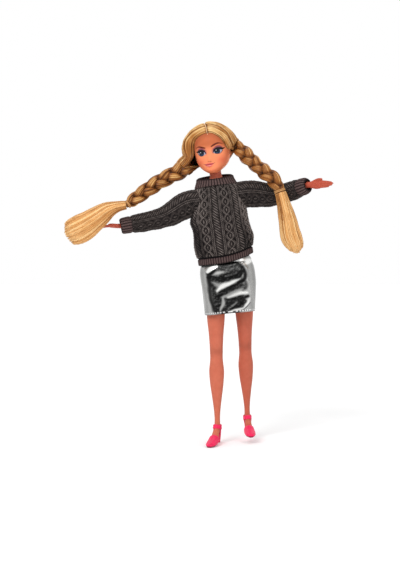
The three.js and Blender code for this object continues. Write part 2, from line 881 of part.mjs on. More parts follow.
// Places along an arm, measured from its shoulder pin.
function armPlan(name) {
  const sign = sideSigns[name];
  const pose = armAngles[name];
  const upper = aim(sign, pose.forward, pose.drop);
  const fore = aim(sign, pose.forward + pose.bendForward, pose.drop - pose.bendUp);
  const hand = aim(sign, pose.forward + pose.bendForward, pose.drop - pose.bendUp + pose.handDrop);
  const elbow = upper.clone().multiplyScalar(upperArm);
  const wrist = elbow.clone().addScaledVector(fore, foreArm);
  return { sign, pose, upper, fore, hand, elbow, wrist };
}

function makeArm(name) {
  const plan = armPlan(name);
  const place = new THREE.Vector3(plan.sign * shoulderSide, 0, shoulderRise);
  const shoulder = group(trunk, `shoulder_${name}`, place);
  const out = axisX.clone().multiplyScalar(plan.sign);
  const inward = shoulderSide - discSide;
  const disc = join(
    rod(out, discRadius, -inward, discThick - inward),
    rod(out, discStem, discThick - inward - gap, 0),
    rod(axisY, discStem, -yokeHalf, yokeHalf),
  );
  const slot = block(
    new THREE.Vector3(-tabRadius - gap * 2, -tabHalf - gap, -discRadius),
    new THREE.Vector3(tabRadius + overrun, tabHalf + gap, discRadius),
  );
  if (plan.sign < 0) slot.rotateZ(Math.PI);
  const pinHole = rod(axisY, pinRadius + gap, -yokeHalf - overrun, yokeHalf + overrun);
  piece(shoulder, `shoulder_disc_${name}`, cut(disc, slot, pinHole), jointPlastic);
  piece(shoulder, `shoulder_pin_${name}`, rod(axisY, pinRadius, -yokeHalf, yokeHalf), steel);

  const rootWay = aim(plan.sign, 0, plan.pose.drop);
  const root = rootWay.clone().multiplyScalar(armRoot);
  const armCurve = new THREE.CatmullRomCurve3([root, plan.elbow, plan.wrist]);
  const skinRows = armShares.map(([share, half]) => [share, armHalf * half]);
  const handEnd = plan.wrist.clone().addScaledVector(plan.hand, handLength);
  const back = plan.wrist.clone().addScaledVector(plan.fore, -armHalf / 2);
  const handCurve = new THREE.CatmullRomCurve3([back, plan.wrist, handEnd]);
  const handRows = handShares.map(([share, wide, deep]) => [share, handHalf * wide, handThick * deep]);
  const palmWay = axisZ.clone();
  const thumbStart = plan.wrist.clone().addScaledVector(plan.hand, handLength * thumbPlaceShare);
  const thumbWay = plan.hand.clone().applyAxisAngle(axisZ, radians(plan.pose.thumbTurn));
  const thumbEnd = thumbStart.clone().addScaledVector(thumbWay, thumbLength);
  const thumbCurve = new THREE.LineCurve3(thumbStart, thumbEnd);
  const thumbRows = thumbShares.map(([share, half]) => [share, thumbHalf * half]);
  const tab = rod(axisY, tabRadius, -tabHalf, tabHalf);
  const neckWay = new THREE.CylinderGeometry(tabHalf, tabHalf, armRoot + gap, coarse);
  neckWay.translate(0, (armRoot + gap) / 2, 0);
  neckWay.applyQuaternion(new THREE.Quaternion().setFromUnitVectors(axisY, rootWay));
  const arm = join(
    alongCurve(armCurve, skinRows, coarse),
    alongCurve(handCurve, handRows, coarse, palmWay),
    alongCurve(thumbCurve, thumbRows, coarse / 2, palmWay),
    tab,
    neckWay,
  );
  piece(shoulder, `arm_${name}`, cut(arm, pinHole), skin);
  makeSleeve(shoulder, name, plan);
}

function makeSleeve(shoulder, name, plan) {
  const start = new THREE.Vector3(plan.sign * (sleeveRoot - shoulderSide), 0, 0);
  const straight = start.clone().addScaledVector(axisX, plan.sign * overrun);
  const curve = new THREE.CatmullRomCurve3([start, straight, plan.elbow, plan.wrist]);
  const cuffShare = 1 - cuffLength / curve.getLength();
  const rows = sleeveShares.map(([share, half]) => [share * cuffShare, sleeveHalf * half]);
  const sleeve = hollowTube(curve, rows, sleeveWall, medium);
  piece(shoulder, `sleeve_${name}`, sleeve, knit);
  const cuffStart = cuffShare + gap / curve.getLength();
  const cuffRows = [[cuffStart, cuffHalf], [(1 + cuffStart) / 2, cuffHalf], [1, cuffHalf]];
  piece(shoulder, `cuff_${name}`, hollowTube(curve, cuffRows, cuffWall, medium), knit);
}

// Sweater: a knitted tube with armholes, a hem rib, a collar and a fastening at the back.
function sweaterRows(spare) {
  const rows = sweaterShares.map(([rise, minus, plus, front, back]) => ({
    at: THREE.MathUtils.lerp(hemTop, sweaterTop, rise),
    minus: sweaterHalf * minus,
    plus: sweaterHalf * plus,
    front: sweaterDepth * front,
    back: sweaterDepth * back,
  }));
  return inset(rows, -spare);
}

// Lifts the lower edge of the sweater towards both sides, less and less up to the collar.
function liftHem(rings) {
  return rings.map((places) => places.map((place) => {
    const [most, reach] = place.x > hemLowest
      ? [hemLiftLeft, sweaterHalf - hemLowest]
      : [hemLiftRight, sweaterHalf + hemLowest];
    const fade = Math.min(1, (sweaterTop - place.z) / (sweaterTop - hemTop));
    return place.setZ(place.z + most * fade * ((place.x - hemLowest) / reach) ** 2);
  }));
}

function sweaterRings(rows) {
  return liftHem(stackRings(rows, fine));
}

function collarRings(spare) {
  const slope = Math.tan(radians(collarSlantAngle));
  return collarShares.map(([rise, half, deep]) => {
    const at = sweaterTop + gap + collarHeight * rise;
    const reach = {
      plus: collarHalf * half + spare,
      minus: collarHalf * half + spare,
      front: collarDepth * deep + spare,
      back: collarDepth * deep + spare,
    };
    const flat = ring(new THREE.Vector3(0, 0, at), axisX, axisY, reach, fine);
    return flat.map((place) => place.setZ(place.z + place.y * slope * rise));
  });
}

function makeSweater() {
  const tube = wallBetween(sweaterRings(sweaterRows(0)), sweaterRings(sweaterRows(-knitWall)));
  const shoulder = new THREE.Vector3(0, 0, shoulderRise);
  const armholes = Object.values(sideSigns).map((sign) => rod(
    axisX.clone().multiplyScalar(sign),
    sleeveHalf + armholeSpare,
    sleeveRoot - armholeSpare,
    sweaterHalf + overrun,
    shoulder,
    medium * 2,
  ));
  piece(trunk, 'sweater_body', cut(tube, ...armholes), knit);

  const hemRow = { ...sweaterRows(0)[0], plus: sweaterHalf * hemLeftShare };
  const hem = [{ ...hemRow, at: hemBase }, { ...hemRow, at: hemTop - gap }];
  const hemRib = wallBetween(sweaterRings(hem), sweaterRings(inset(hem, knitWall)));
  piece(trunk, 'sweater_hem', hemRib, knit);
  piece(trunk, 'sweater_collar', wallBetween(collarRings(0), collarRings(-collarWall)), knit);

  const height = sweaterTop - hemTop;
  const strip = backStrip(
    sweaterRows(gap),
    sweaterRows(gap + fasteningThick),
    fasteningWidth,
    hemTop + height * fasteningShares[0],
    hemTop + height * fasteningShares[1],
  );
  piece(trunk, 'sweater_fastening', strip, tape);
}

// A thin strip down the middle of the back, between two surfaces.
function backStrip(innerRows, outerRows, width, from, to) {
  const zone = block(
    new THREE.Vector3(-width / 2, 0, from),
    new THREE.Vector3(width / 2, sweaterDepth * 2, to),
  );
  return common(wallBetween(sweaterRings(outerRows), sweaterRings(innerRows)), zone);
}

// Skirt: a short tube that leans with the legs, with a hidden waistband and a fastening.
function skirtRings(spare) {
  const slope = Math.tan(radians(skirtSlantAngle));
  const length = skirtTop + skirtDrop;
  return skirtShares.map(([drop, half, shift, front, back, squareness]) => {
    const centre = new THREE.Vector3(-skirtShift * shift, 0, skirtTop - length * drop);
    const reach = {
      plus: skirtHalf * half + spare,
      minus: skirtHalf * half + spare,
      front: skirtDepth * front + spare,
      back: skirtDepth * back + spare,
    };
    const flat = ring(centre, axisX, axisY, reach, fine, squareness);
    return flat.map((place) => place.setZ(place.z - place.x * slope * shift));
  });
}

function makeSkirt() {
  piece(trunk, 'skirt', wallBetween(skirtRings(0), skirtRings(-skirtWall)), foil);
  const [, half, , front, back] = skirtShares[0];
  const low = even(skirtTop + gap, skirtHalf * half, skirtDepth * front, skirtDepth * back);
  const band = [low, { ...low, at: low.at + waistbandHeight }];
  const bandRings = wallBetween(stackRings(band, fine), stackRings(inset(band, waistbandWall), fine));
  piece(trunk, 'skirt_waistband', bandRings, tape);
  const length = skirtTop + skirtDrop;
  const zone = block(
    new THREE.Vector3(-zipWidth / 2 - skirtShift / 2, 0, skirtTop - length * zipShares[1]),
    new THREE.Vector3(zipWidth / 2 - skirtShift / 2, skirtDepth * 2, skirtTop - length * zipShares[0]),
  );
  const strip = common(wallBetween(skirtRings(gap + zipThick), skirtRings(gap)), zone);
  piece(trunk, 'skirt_fastening', strip, tape);
}

// Hips: a bar through both thighs with a rivet at each end.
function makeHipBar() {
  const bar = join(
    rod(axisX, barRadius, -rivetSide - gap, rivetSide + gap),
    rod(axisX, rivetRadius, rivetSide, rivetSide + rivetThick),
    rod(axisX, rivetRadius, -rivetSide - rivetThick, -rivetSide),
  );
  piece(trunk, 'hip_bar', bar, steel);
}

function legRows(shares, from, to, half) {
  return shares.map(([drop, wide, front, back]) => even(
    -THREE.MathUtils.lerp(from, to, drop),
    half * wide,
    half * front,
    half * back,
  ));
}

// A round top over the first row of a limb.
function domed(rows) {
  const first = rows[0];
  const steps = 4;
  const dome = Array.from({ length: steps }, (_, i) => {
    const turn = (Math.PI / 2) * ((steps - i) / steps);
    const scale = Math.cos(turn);
    const at = first.at + first.plus * Math.sin(turn);
    return even(at, first.plus * scale, first.front * scale, first.back * scale);
  });
  return [...dome, ...rows];
}

function footRings(spare, soleSpare = spare) {
  return footShares.map(([along, half, top, bottom], i) => {
    const end = (Number(i === 0) - Number(i === footShares.length - 1)) * spare;
    const high = -footTopDrop - footHeight * top + spare;
    const low = -footTopDrop - footHeight * bottom - soleSpare;
    const centre = new THREE.Vector3(0, heelBack - footLength * along + end, (high + low) / 2);
    const reach = { plus: footHalf * half + spare, minus: footHalf * half + spare };
    reach.front = (high - low) / 2;
    reach.back = reach.front;
    return ring(centre, axisX, axisZ, reach, footSides);
  });
}

function makeLeg(name) {
  const sign = sideSigns[name];
  const swing = group(trunk, `hip_${name}`, new THREE.Vector3(sign * hipSide, 0, 0));
  swing.rotation.x = radians(legSwingAngles[name]);
  const leg = group(swing, `leg_${name}`);
  leg.rotation.y = radians(trunkTiltAngle - legLeanAngles[name]);
  const knee = new THREE.Vector3(0, 0, -kneeDrop);
  const across = axisX.clone().applyAxisAngle(axisY, -radians(trunkTiltAngle - legLeanAngles[name]));

  const shinRows = (spare) => inset(legRows(shinShares, kneeDrop, ankleDrop, calfHalf), -spare);
  const kneeRound = calfHalf * shinShares[0][2];
  const barHole = rod(across, barRadius + gap, -thighHalf - overrun, thighHalf + overrun);
  const rivetHole = rod(
    across,
    rivetRadius + gap,
    sign * (rivetSide - hipSide) - gap - Number(sign < 0) * (rivetThick + gap),
    sign * (rivetSide - hipSide) + gap + Number(sign > 0) * (rivetThick + gap),
  );
  const inwardBar = rod(
    across.clone().multiplyScalar(sign),
    barRadius + gap,
    -thighHalf - overrun,
    rivetSide - hipSide,
  );
  const thigh = cut(
    stack(domed(legRows(thighShares, 0, kneeDrop, thighHalf)), medium),
    ball(hipBall + gap, new THREE.Vector3(), medium),
    rod(axisZ, boreRadius, -kneeDrop, 0),
    inwardBar,
    rivetHole,
    rod(axisX, kneeRound + kneeStop, -thighHalf, thighHalf, knee, medium),
  );
  piece(leg, `thigh_${name}`, thigh, skin);

  const eyeDrop = kneeDrop - kneeEye;
  const pinHole = rod(axisX, kneePinRadius + gap, -calfHalf, calfHalf, knee);
  const upperBar = cut(
    join(
      ball(hipBall, new THREE.Vector3()),
      rod(axisZ, rodRadius, -eyeDrop - gap, 0),
      rod(axisX, kneeEye, -clevisHalf, clevisHalf, knee),
    ),
    barHole,
    pinHole,
    block(
      new THREE.Vector3(-tongueHalf - gap, -kneeEye - overrun, -kneeDrop - kneeEye - overrun),
      new THREE.Vector3(tongueHalf + gap, kneeEye + overrun, -eyeDrop + gap),
    ),
  );
  piece(leg, `thigh_rod_${name}`, upperBar, jointPlastic);

  const shin = group(leg, `knee_${name}`);
  const slotOutline = kneeSlot(radians(kneeBendAngle), kneeRound + overrun);
  const foot = setFoot(loft(footRings(0)), name);
  const shinSkin = cut(
    join(stack(domed(shinRows(0)), medium), foot),
    rod(axisX, kneeEye + gap, -kneeSlotHalf, kneeSlotHalf, knee),
    profile(slotOutline, -kneeSlotHalf, kneeSlotHalf),
    rod(axisX, kneePinRadius + gap, -kneePinHalf - gap, kneePinHalf + gap, knee),
    rod(axisZ, rodRadius + gap, -shinBoreDrop - gap, -kneeDrop),
  );
  piece(shin, `shin_${name}`, shinSkin, skin);
  const lowerBar = cut(
    join(
      rod(axisX, kneeEye - gap, -tongueHalf, tongueHalf, knee),
      block(
        new THREE.Vector3(-tongueHalf, -rodRadius * Math.SQRT1_2, -kneeDrop - kneeEye - gap * 2),
        new THREE.Vector3(tongueHalf, rodRadius * Math.SQRT1_2, -kneeDrop),
      ),
      rod(axisZ, rodRadius, -shinBoreDrop, -kneeDrop - kneeEye - gap),
    ),
    pinHole,
  );
  piece(shin, `shin_rod_${name}`, lowerBar, jointPlastic);
  piece(shin, `knee_pin_${name}`, rod(axisX, kneePinRadius, -kneePinHalf, kneePinHalf, knee), steel);
  makeShoe(shin, name, shinRows(gap));
}

// The side view of the slot in a shin's round top, in which the thigh rod turns.
function kneeSlot(bend, reach) {
  const half = rodRadius + gap;
  const tip = [Math.sin(bend) * reach, Math.cos(bend) * reach];
  const aside = [Math.cos(bend) * half, -Math.sin(bend) * half];
  const outline = [
    [-half, 0],
    aside,
    [tip[0] + aside[0], tip[1] + aside[1]],
    [tip[0] - aside[0], tip[1] - aside[1]],
    [-half, reach],
  ];
  return outline.map(([depth, rise]) => [depth, rise - kneeDrop]);
}

// Turns a foot outwards and levels its sole, whatever the swing of its leg.
function setFoot(geometry, name) {
  geometry.rotateZ(radians(sideSigns[name] * footSplayAngles[name]));
  geometry.translate(0, 0, ankleDrop);
  geometry.rotateX(-radians(legSwingAngles[name]));
  return geometry.translate(0, 0, -ankleDrop);
}

function makeShoe(shin, name, shinRows) {
  const last = setFoot(loft(footRings(gap)), name);
  const upper = loft(footRings(shoeWall, soleThick));
  const strapRow = shinRows.at(-1);
  const strapRows = [
    { ...strapRow, at: -ankleDrop - strapHeight },
    { ...strapRow, at: -ankleDrop },
  ];
  const strap = stack(inset(strapRows, -strapWall), medium);
  const heelPlace = new THREE.Vector3(0, heelBack - footLength * heelPlaceShare, 0);
  const heel = rod(axisZ, heelTipHalf, -soleDrop, -soleDrop + heelRise, heelPlace, coarse, heelTopHalf);
  const vamp = profile(
    vampShares.map(([along, drop]) => [heelBack - footLength * along, -footTopDrop - footHeight * drop]),
    -footLength,
    footLength,
  );
  const below = block(
    new THREE.Vector3(-footLength, -footLength * 2, -soleDrop - footLength),
    new THREE.Vector3(footLength, footLength, -soleDrop),
  );
  const shape = setFoot(cut(join(upper, heel), vamp, below), name);
  const shoe = cut(join(shape, strap), last, stack(overrunEnds(shinRows), medium));
  piece(shin, `shoe_${name}`, shoe, shoePlastic);
}

makeTorso();
makeNeck();
makeHead();
makeSweater();
makeSkirt();
makeHipBar();
for (const name of Object.keys(sideSigns)) {
  makePlait(name);
  makeArm(name);
  makeLeg(name);
}

// The doll's own frame: the middle of its box, at the level of its lowest point.
doll.updateMatrixWorld(true);
const bounds = new THREE.Box3().setFromObject(doll, true);
const middle = bounds.getCenter(new THREE.Vector3());
trunk.position.set(-middle.x, -middle.y, -bounds.min.z);

export default doll;
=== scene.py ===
# A fashion doll with two plaits, a cable-knit sweater, a metallic skirt and high-heeled shoes.
# Lengths are in millimetres in the doll's own frames and in metres in the scene.
import json
import math

import bmesh
import bpy
import numpy as np
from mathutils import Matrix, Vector


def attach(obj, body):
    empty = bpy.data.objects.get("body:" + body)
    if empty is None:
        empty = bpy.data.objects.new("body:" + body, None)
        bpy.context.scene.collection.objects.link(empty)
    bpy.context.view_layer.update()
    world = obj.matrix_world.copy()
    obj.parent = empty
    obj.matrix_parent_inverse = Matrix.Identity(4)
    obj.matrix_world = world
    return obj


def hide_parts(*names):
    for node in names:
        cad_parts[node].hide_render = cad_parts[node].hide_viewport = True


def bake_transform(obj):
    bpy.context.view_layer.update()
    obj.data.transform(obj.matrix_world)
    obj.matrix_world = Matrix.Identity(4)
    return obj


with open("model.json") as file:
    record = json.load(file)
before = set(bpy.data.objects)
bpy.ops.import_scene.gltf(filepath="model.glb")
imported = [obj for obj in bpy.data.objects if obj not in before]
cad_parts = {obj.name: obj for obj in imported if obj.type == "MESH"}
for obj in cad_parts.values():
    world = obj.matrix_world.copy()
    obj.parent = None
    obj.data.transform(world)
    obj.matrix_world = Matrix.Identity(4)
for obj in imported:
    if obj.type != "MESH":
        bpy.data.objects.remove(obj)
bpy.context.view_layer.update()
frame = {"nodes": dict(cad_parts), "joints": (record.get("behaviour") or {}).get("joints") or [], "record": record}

MM = 0.001
TAU = 2 * math.pi
SIGNS = {"right": -1, "left": 1}
joints = {joint["name"]: joint for joint in frame["joints"]}

# Frames: the trunk leans, the head turns on it, and the legs swing from it
TRUNK_TILT = math.radians(7.66)
HEAD_YAW = math.radians(12)
CHIN_RISE = 92.8
LEG_SWING = {"right": 0, "left": math.radians(10)}
LEG_LEAN = {"right": math.radians(0.8), "left": math.radians(2.2)}
HIP_SIDE = 12.6
hip_axis = np.array(joints["sit"]["pos_m"])
side_way = -np.array(joints["sit"]["axis"])
up_way = np.array(joints["head_turn"]["axis"])
back_way = np.cross(up_way, side_way)
trunk_axes = np.array([side_way, back_way, up_way])


def on_trunk(places):
    return hip_axis + np.asarray(places, float) * MM @ trunk_axes


def turned(places, axis, angle):
    """Turns places about X (0), Y (1) or Z (2)."""
    a, b = [(1, 2), (2, 0), (0, 1)][axis]
    out = np.array(places, float)
    first, second = out[..., a].copy(), out[..., b].copy()
    out[..., a] = first * math.cos(angle) - second * math.sin(angle)
    out[..., b] = first * math.sin(angle) + second * math.cos(angle)
    return out


def from_chin(places):
    return on_trunk(np.asarray(places, float) + (0, 0, CHIN_RISE))


def on_head(places):
    return from_chin(turned(places, 2, -HEAD_YAW))


def on_leg(name, places):
    lean = turned(places, 1, TRUNK_TILT - LEG_LEAN[name])
    swung = turned(lean, 0, LEG_SWING[name])
    return on_trunk(swung + (SIGNS[name] * HIP_SIDE, 0, 0))


def linked(name, data):
    """A new object of the scene."""
    thing = bpy.data.objects.new(name, data)
    bpy.context.scene.collection.objects.link(thing)
    return thing


# Camera and light
CAMERA_FROM_HIP = np.array((-26.3, -915, -8.1)) * MM
LENS = 64.21
LONG_SIDE = 36

camera_data = bpy.data.cameras.new("camera")
camera_data.lens = LENS
camera_data.sensor_width = LONG_SIDE
camera_data.sensor_fit = "AUTO"
camera = linked("camera", camera_data)
camera.location = hip_axis + CAMERA_FROM_HIP
camera.rotation_euler = (math.pi / 2, 0, 0)
bpy.context.scene.camera = camera

# Each lamp is a broad sun: its way from the doll, its angle and its strength
SUNS = [
    ("key", (-0.42, -0.75, 0.6), 26, 1.36),
    ("fill", (0.6, -0.7, 0.3), 40, 0.4),
    ("top", (0, 0, 1), 70, 0.7),
]
for sun_name, way, angle, power in SUNS:
    sun = bpy.data.lights.new(sun_name, "SUN")
    sun.angle = math.radians(angle)
    sun.energy = power
    linked(sun_name, sun).rotation_euler = Vector(way).to_track_quat("Z", "Y").to_euler()


def seen_directly(nodes, links):
    """1 for rays from the camera, through glass or off metal, and 0 for those that light the doll."""
    ray = nodes.new("ShaderNodeLightPath")
    total = None
    for name in ("Is Camera Ray", "Is Transmission Ray", "Is Glossy Ray"):
        if total is None:
            total = ray.outputs[name]
            continue
        larger = nodes.new("ShaderNodeMath")
        larger.operation = "MAXIMUM"
        links.new(total, larger.inputs[0])
        links.new(ray.outputs[name], larger.inputs[1])
        total = larger.outputs[0]
    return total


# The world lights the doll softly, and shows white to the camera and in reflections
WORLD_LIGHT = 0.46
world = bpy.data.worlds.new("studio")
world.use_nodes = True
bpy.context.scene.world = world
world_nodes, world_links = world.node_tree.nodes, world.node_tree.links
background = world_nodes["Background"]
background.inputs["Color"].default_value = (1, 1, 1, 1)
strength = world_nodes.new("ShaderNodeMapRange")
strength.inputs["To Min"].default_value = WORLD_LIGHT
world_links.new(seen_directly(world_nodes, world_links), strength.inputs["Value"])
world_links.new(strength.outputs["Result"], background.inputs["Strength"])
bpy.context.scene.view_settings.view_transform = "Standard"


def linear(colour):
    """Linear values of an sRGB colour given in 0 to 255."""
    shares = np.asarray(colour, float) / 255
    return np.where(shares <= 0.04045, shares / 12.92, ((shares + 0.055) / 1.055) ** 2.4)


ROUGHNESS_SPREAD = 0.08
SOFT_WAYS = (1, 0.35, 0.2)
SOFT_DEPTH = 0.6 * MM


def finish(name, tones, grain, rough, bump=0, bump_grain=None, metal=0, sheen=0,
           painted=False, combed=False, soft=0, shine=0.5):
    """A material: tones mixed by a noise of the given grain, times the painted colour, with a fine bump."""
    material = bpy.data.materials.new(name)
    material.use_nodes = True
    nodes, links = material.node_tree.nodes, material.node_tree.links
    shader = nodes["Principled BSDF"]
    for socket, value in [
        ("Metallic", metal), ("Specular IOR Level", shine), ("Sheen Weight", sheen),
        ("Subsurface Weight", soft), ("Subsurface Radius", SOFT_WAYS), ("Subsurface Scale", SOFT_DEPTH),
    ]:
        shader.inputs[socket].default_value = value

    def layer(attribute, output):
        read = nodes.new("ShaderNodeAttribute")
        read.attribute_name = attribute
        return read.outputs[output]

    vector = layer("fibre", "Vector") if combed else nodes.new("ShaderNodeTexCoord").outputs["Object"]

    def noise(size, detail):
        place = nodes.new("ShaderNodeMapping")
        place.inputs["Scale"].default_value = [1 / s for s in np.broadcast_to(size, 3)]
        links.new(vector, place.inputs["Vector"])
        made = nodes.new("ShaderNodeTexNoise")
        made.inputs["Scale"].default_value = 1
        made.inputs["Detail"].default_value = detail
        links.new(place.outputs["Vector"], made.inputs["Vector"])
        return made.outputs["Fac"]

    cloud = noise(grain, 4)
    ramp = nodes.new("ShaderNodeValToRGB")
    stops = ramp.color_ramp.elements
    for i, tone in enumerate(tones):
        at = 0.3 + 0.4 * i / (len(tones) - 1)
        stop = stops[i] if i < 2 else stops.new(at)
        stop.position = at
        stop.color = (*linear(tone), 1)
    links.new(cloud, ramp.inputs["Fac"])
    colour = ramp.outputs["Color"]
    if painted:
        mixed = nodes.new("ShaderNodeMix")
        mixed.data_type = "RGBA"
        mixed.blend_type = "MULTIPLY"
        mixed.inputs["Factor"].default_value = 1
        links.new(layer("paint", "Color"), mixed.inputs["A"])
        links.new(colour, mixed.inputs["B"])
        colour = mixed.outputs["Result"]
    links.new(colour, shader.inputs["Base Color"])
    worn = nodes.new("ShaderNodeMapRange")
    worn.inputs["To Min"].default_value = rough - ROUGHNESS_SPREAD
    worn.inputs["To Max"].default_value = rough + ROUGHNESS_SPREAD
    links.new(cloud, worn.inputs["Value"])
    links.new(worn.outputs["Result"], shader.inputs["Roughness"])
    if bump:
        relief = nodes.new("ShaderNodeBump")
        relief.inputs["Distance"].default_value = bump
        links.new(noise(bump_grain, 3), relief.inputs["Height"])
        links.new(relief.outputs["Normal"], shader.inputs["Normal"])
    return material


SKIN = finish("skin", [(246, 240, 238), (255, 255, 255)], 4 * MM, 0.5, 0.02 * MM, 0.35 * MM,
              painted=True, soft=0.1, shine=0.2)
FACE = finish("face", [(250, 246, 244), (255, 255, 255)], 5 * MM, 0.52, 0.012 * MM, 0.35 * MM,
              painted=True, soft=0.08, shine=0.2)
HAIR = finish("hair", [(206, 182, 150), (255, 252, 246), (240, 224, 196)], (0.8, 0.8, 14), 0.34,
              0.12 * MM, (0.3, 0.3, 9), painted=True, combed=True, shine=0.14)
KNIT = finish("knit", [(205, 203, 203), (255, 252, 250)], 0.5 * MM, 0.92, 0.12 * MM, 0.16 * MM,
              painted=True, sheen=0.03, shine=0.1)
FOIL = finish("foil", [(246, 246, 248), (255, 255, 255)], (2.4 * MM, 2.4 * MM, 1.6 * MM), 0.24,
              0.03 * MM, 0.9 * MM, metal=0.85, painted=True)
SHOE = finish("shoe", [(240, 236, 238), (255, 255, 255)], 3 * MM, 0.42, 0.015 * MM, 0.5 * MM,
              painted=True, shine=0.25)
ELASTIC = finish("elastic", [(168, 116, 62), (206, 156, 96)], 0.6 * MM, 0.55, 0.05 * MM, 0.2 * MM)
TAPE = finish("tape", [(40, 37, 38), (62, 58, 58)], 0.5 * MM, 0.95, 0.15 * MM, 0.25 * MM, sheen=0.3)
SCALP = finish("scalp", [(238, 190, 140), (250, 212, 166)], 1.5 * MM, 0.6, 0.03 * MM, 0.3 * MM)
STEEL = finish("steel", [(150, 150, 152), (190, 190, 192)], (0.2 * MM, 3 * MM, 0.2 * MM), 0.35,
               0.01 * MM, 0.2 * MM, metal=1)
BODY = finish("body_plastic", [(206, 116, 78), (220, 130, 90)], 6 * MM, 0.38, 0.01 * MM, 0.4 * MM)
JOINT = finish("joint_plastic", [(206, 198, 184), (222, 214, 202)], 4 * MM, 0.45, 0.015 * MM, 0.4 * MM)
NODE_FINISHES = {"body_plastic": BODY, "joint_plastic": JOINT, "steel": STEEL, "tape": TAPE,
                 "elastic": ELASTIC}

# The floor is white where the lamps reach it, and keeps the doll's shadow; its half side is in metres
FLOOR_HALF = 400
FLOOR_DROP = 0.02 * MM
FLOOR_GLOW = 0.16
floor_mesh = bpy.data.meshes.new("floor")
floor_mesh.from_pydata(
    [(x * FLOOR_HALF, y * FLOOR_HALF, -FLOOR_DROP) for x, y in [(-1, -1), (1, -1), (1, 1), (-1, 1)]],
    [], [(0, 1, 2, 3)],
)
floor = linked("floor", floor_mesh)
FLOOR_FINISH = finish("floor", [(250, 250, 250), (252, 252, 252)], 0.5, 0.9)
floor_nodes, floor_links = FLOOR_FINISH.node_tree.nodes, FLOOR_FINISH.node_tree.links
glow = floor_nodes.new("ShaderNodeMath")
glow.operation = "MULTIPLY"
glow.inputs[1].default_value = FLOOR_GLOW
floor_links.new(seen_directly(floor_nodes, floor_links), glow.inputs[0])
floor_shader = floor_nodes["Principled BSDF"]
floor_shader.inputs["Emission Color"].default_value = (1, 1, 1, 1)
floor_links.new(glow.outputs[0], floor_shader.inputs["Emission Strength"])
floor_mesh.materials.append(FLOOR_FINISH)


def spline(rows, at):
    """Smooth values of a table whose first column is the place."""
    table = np.array(rows, float)
    x, y = table[:, 0], table[:, 1:]
    slopes = np.gradient(y, x, axis=0)
    at = np.clip(np.asarray(at, float), x[0], x[-1])
    i = np.clip(np.searchsorted(x, at) - 1, 0, len(x) - 2)
    span = (x[i + 1] - x[i])[..., None]
    t = (at - x[i])[..., None] / span
    first = (2 * t**3 - 3 * t**2 + 1) * y[i] + (t**3 - 2 * t**2 + t) * span * slopes[i]
    return first + (3 * t**2 - 2 * t**3) * y[i + 1] + (t**3 - t**2) * span * slopes[i + 1]


def table_columns(rows, at):
    """The columns of a table at the given places, each stood on end."""
    return [column[:, None] for column in spline(rows, at).T]


def smoothstep(value, low=0.0, high=1.0):
    t = np.clip((np.asarray(value, float) - low) / (high - low), 0, 1)
    return t * t * (3 - 2 * t)


def unit(ways):
    return ways / np.linalg.norm(ways, axis=-1, keepdims=True)


def full_turn(count, start=0.0):
    return np.linspace(start, start + TAU, count, endpoint=False)


def rings_round(path, first, second, x, y):
    """Rings round a path, x along the first way and y along the second."""
    return path[:, None] + first[:, None] * x[..., None] + second[:, None] * y[..., None]


class Route:
    """A smooth curve through points, measured by share of its length."""

    def __init__(self, points, across=(0, 1, 0)):
        points = np.array(points, float)
        chords = np.concatenate([[0], np.cumsum(np.linalg.norm(np.diff(points, axis=0), axis=1))])
        fine = np.linspace(0, chords[-1], 400)
        self.fine = spline(np.column_stack([chords, points]), fine)
        steps = np.linalg.norm(np.diff(self.fine, axis=0), axis=1)
        self.marks = np.concatenate([[0], np.cumsum(steps)])
        self.length = self.marks[-1]
        self.ways = unit(np.gradient(self.fine, axis=0))
        self.across = np.array(across, float)

    def _read(self, values, shares):
        where = np.asarray(shares, float) * self.length
        return np.stack([np.interp(where, self.marks, values[:, k]) for k in range(3)], -1)

    def at(self, shares):
        return self._read(self.fine, shares)

    def frames(self, shares):
        way = unit(self._read(self.ways, shares))
        deep = unit(self.across - (way @ self.across)[..., None] * way)
        return way, np.cross(deep, way), deep


def ripple(places, seed, waves=9, most=40, closed=True):
    """A smooth random wave over 0 to 1, of about unit size."""
    rng = np.random.default_rng(seed)
    counts = rng.integers(2, most, waves) if closed else rng.uniform(2, most, waves)
    phases = rng.uniform(0, TAU, waves)
    total = sum(np.sin(TAU * n * places + phase) for n, phase in zip(counts, phases))
    return total / math.sqrt(waves / 2)


def grid_faces(rows, columns, loop=False, wrap=True):
    r = np.arange(rows if loop else rows - 1)[:, None]
    c = np.arange(columns if wrap else columns - 1)[None, :]
    low, high = r * columns, (r + 1) % rows * columns
    after = (c + 1) % columns
    return np.stack([low + c, low + after, high + after, high + c], -1).reshape(-1, 4).tolist()


def loft(rings, loop=False):
    """Rings joined into a closed body: with fans at both ends, or as a loop back to the first ring."""
    rows, columns = rings.shape[:2]
    points = rings.reshape(-1, 3)
    faces = grid_faces(rows, columns, loop)
    if not loop:
        for ring, first in ((rings[0], 0), (rings[-1], (rows - 1) * columns)):
            centre = len(points)
            points = np.vstack([points, ring.mean(0)])
            faces += [(centre, first + i, first + (i + 1) % columns) for i in range(columns)]
    return points, faces


def joined(parts):
    points, faces, first = [], [], 0
    for part_points, part_faces in parts:
        points.append(part_points)
        faces += [tuple(first + i for i in face) for face in part_faces]
        first += len(part_points)
    return np.vstack(points), faces


def face_outwards(mesh):
    made = bmesh.new()
    made.from_mesh(mesh)
    bmesh.ops.recalc_face_normals(made, faces=made.faces)
    made.to_mesh(mesh)
    made.free()


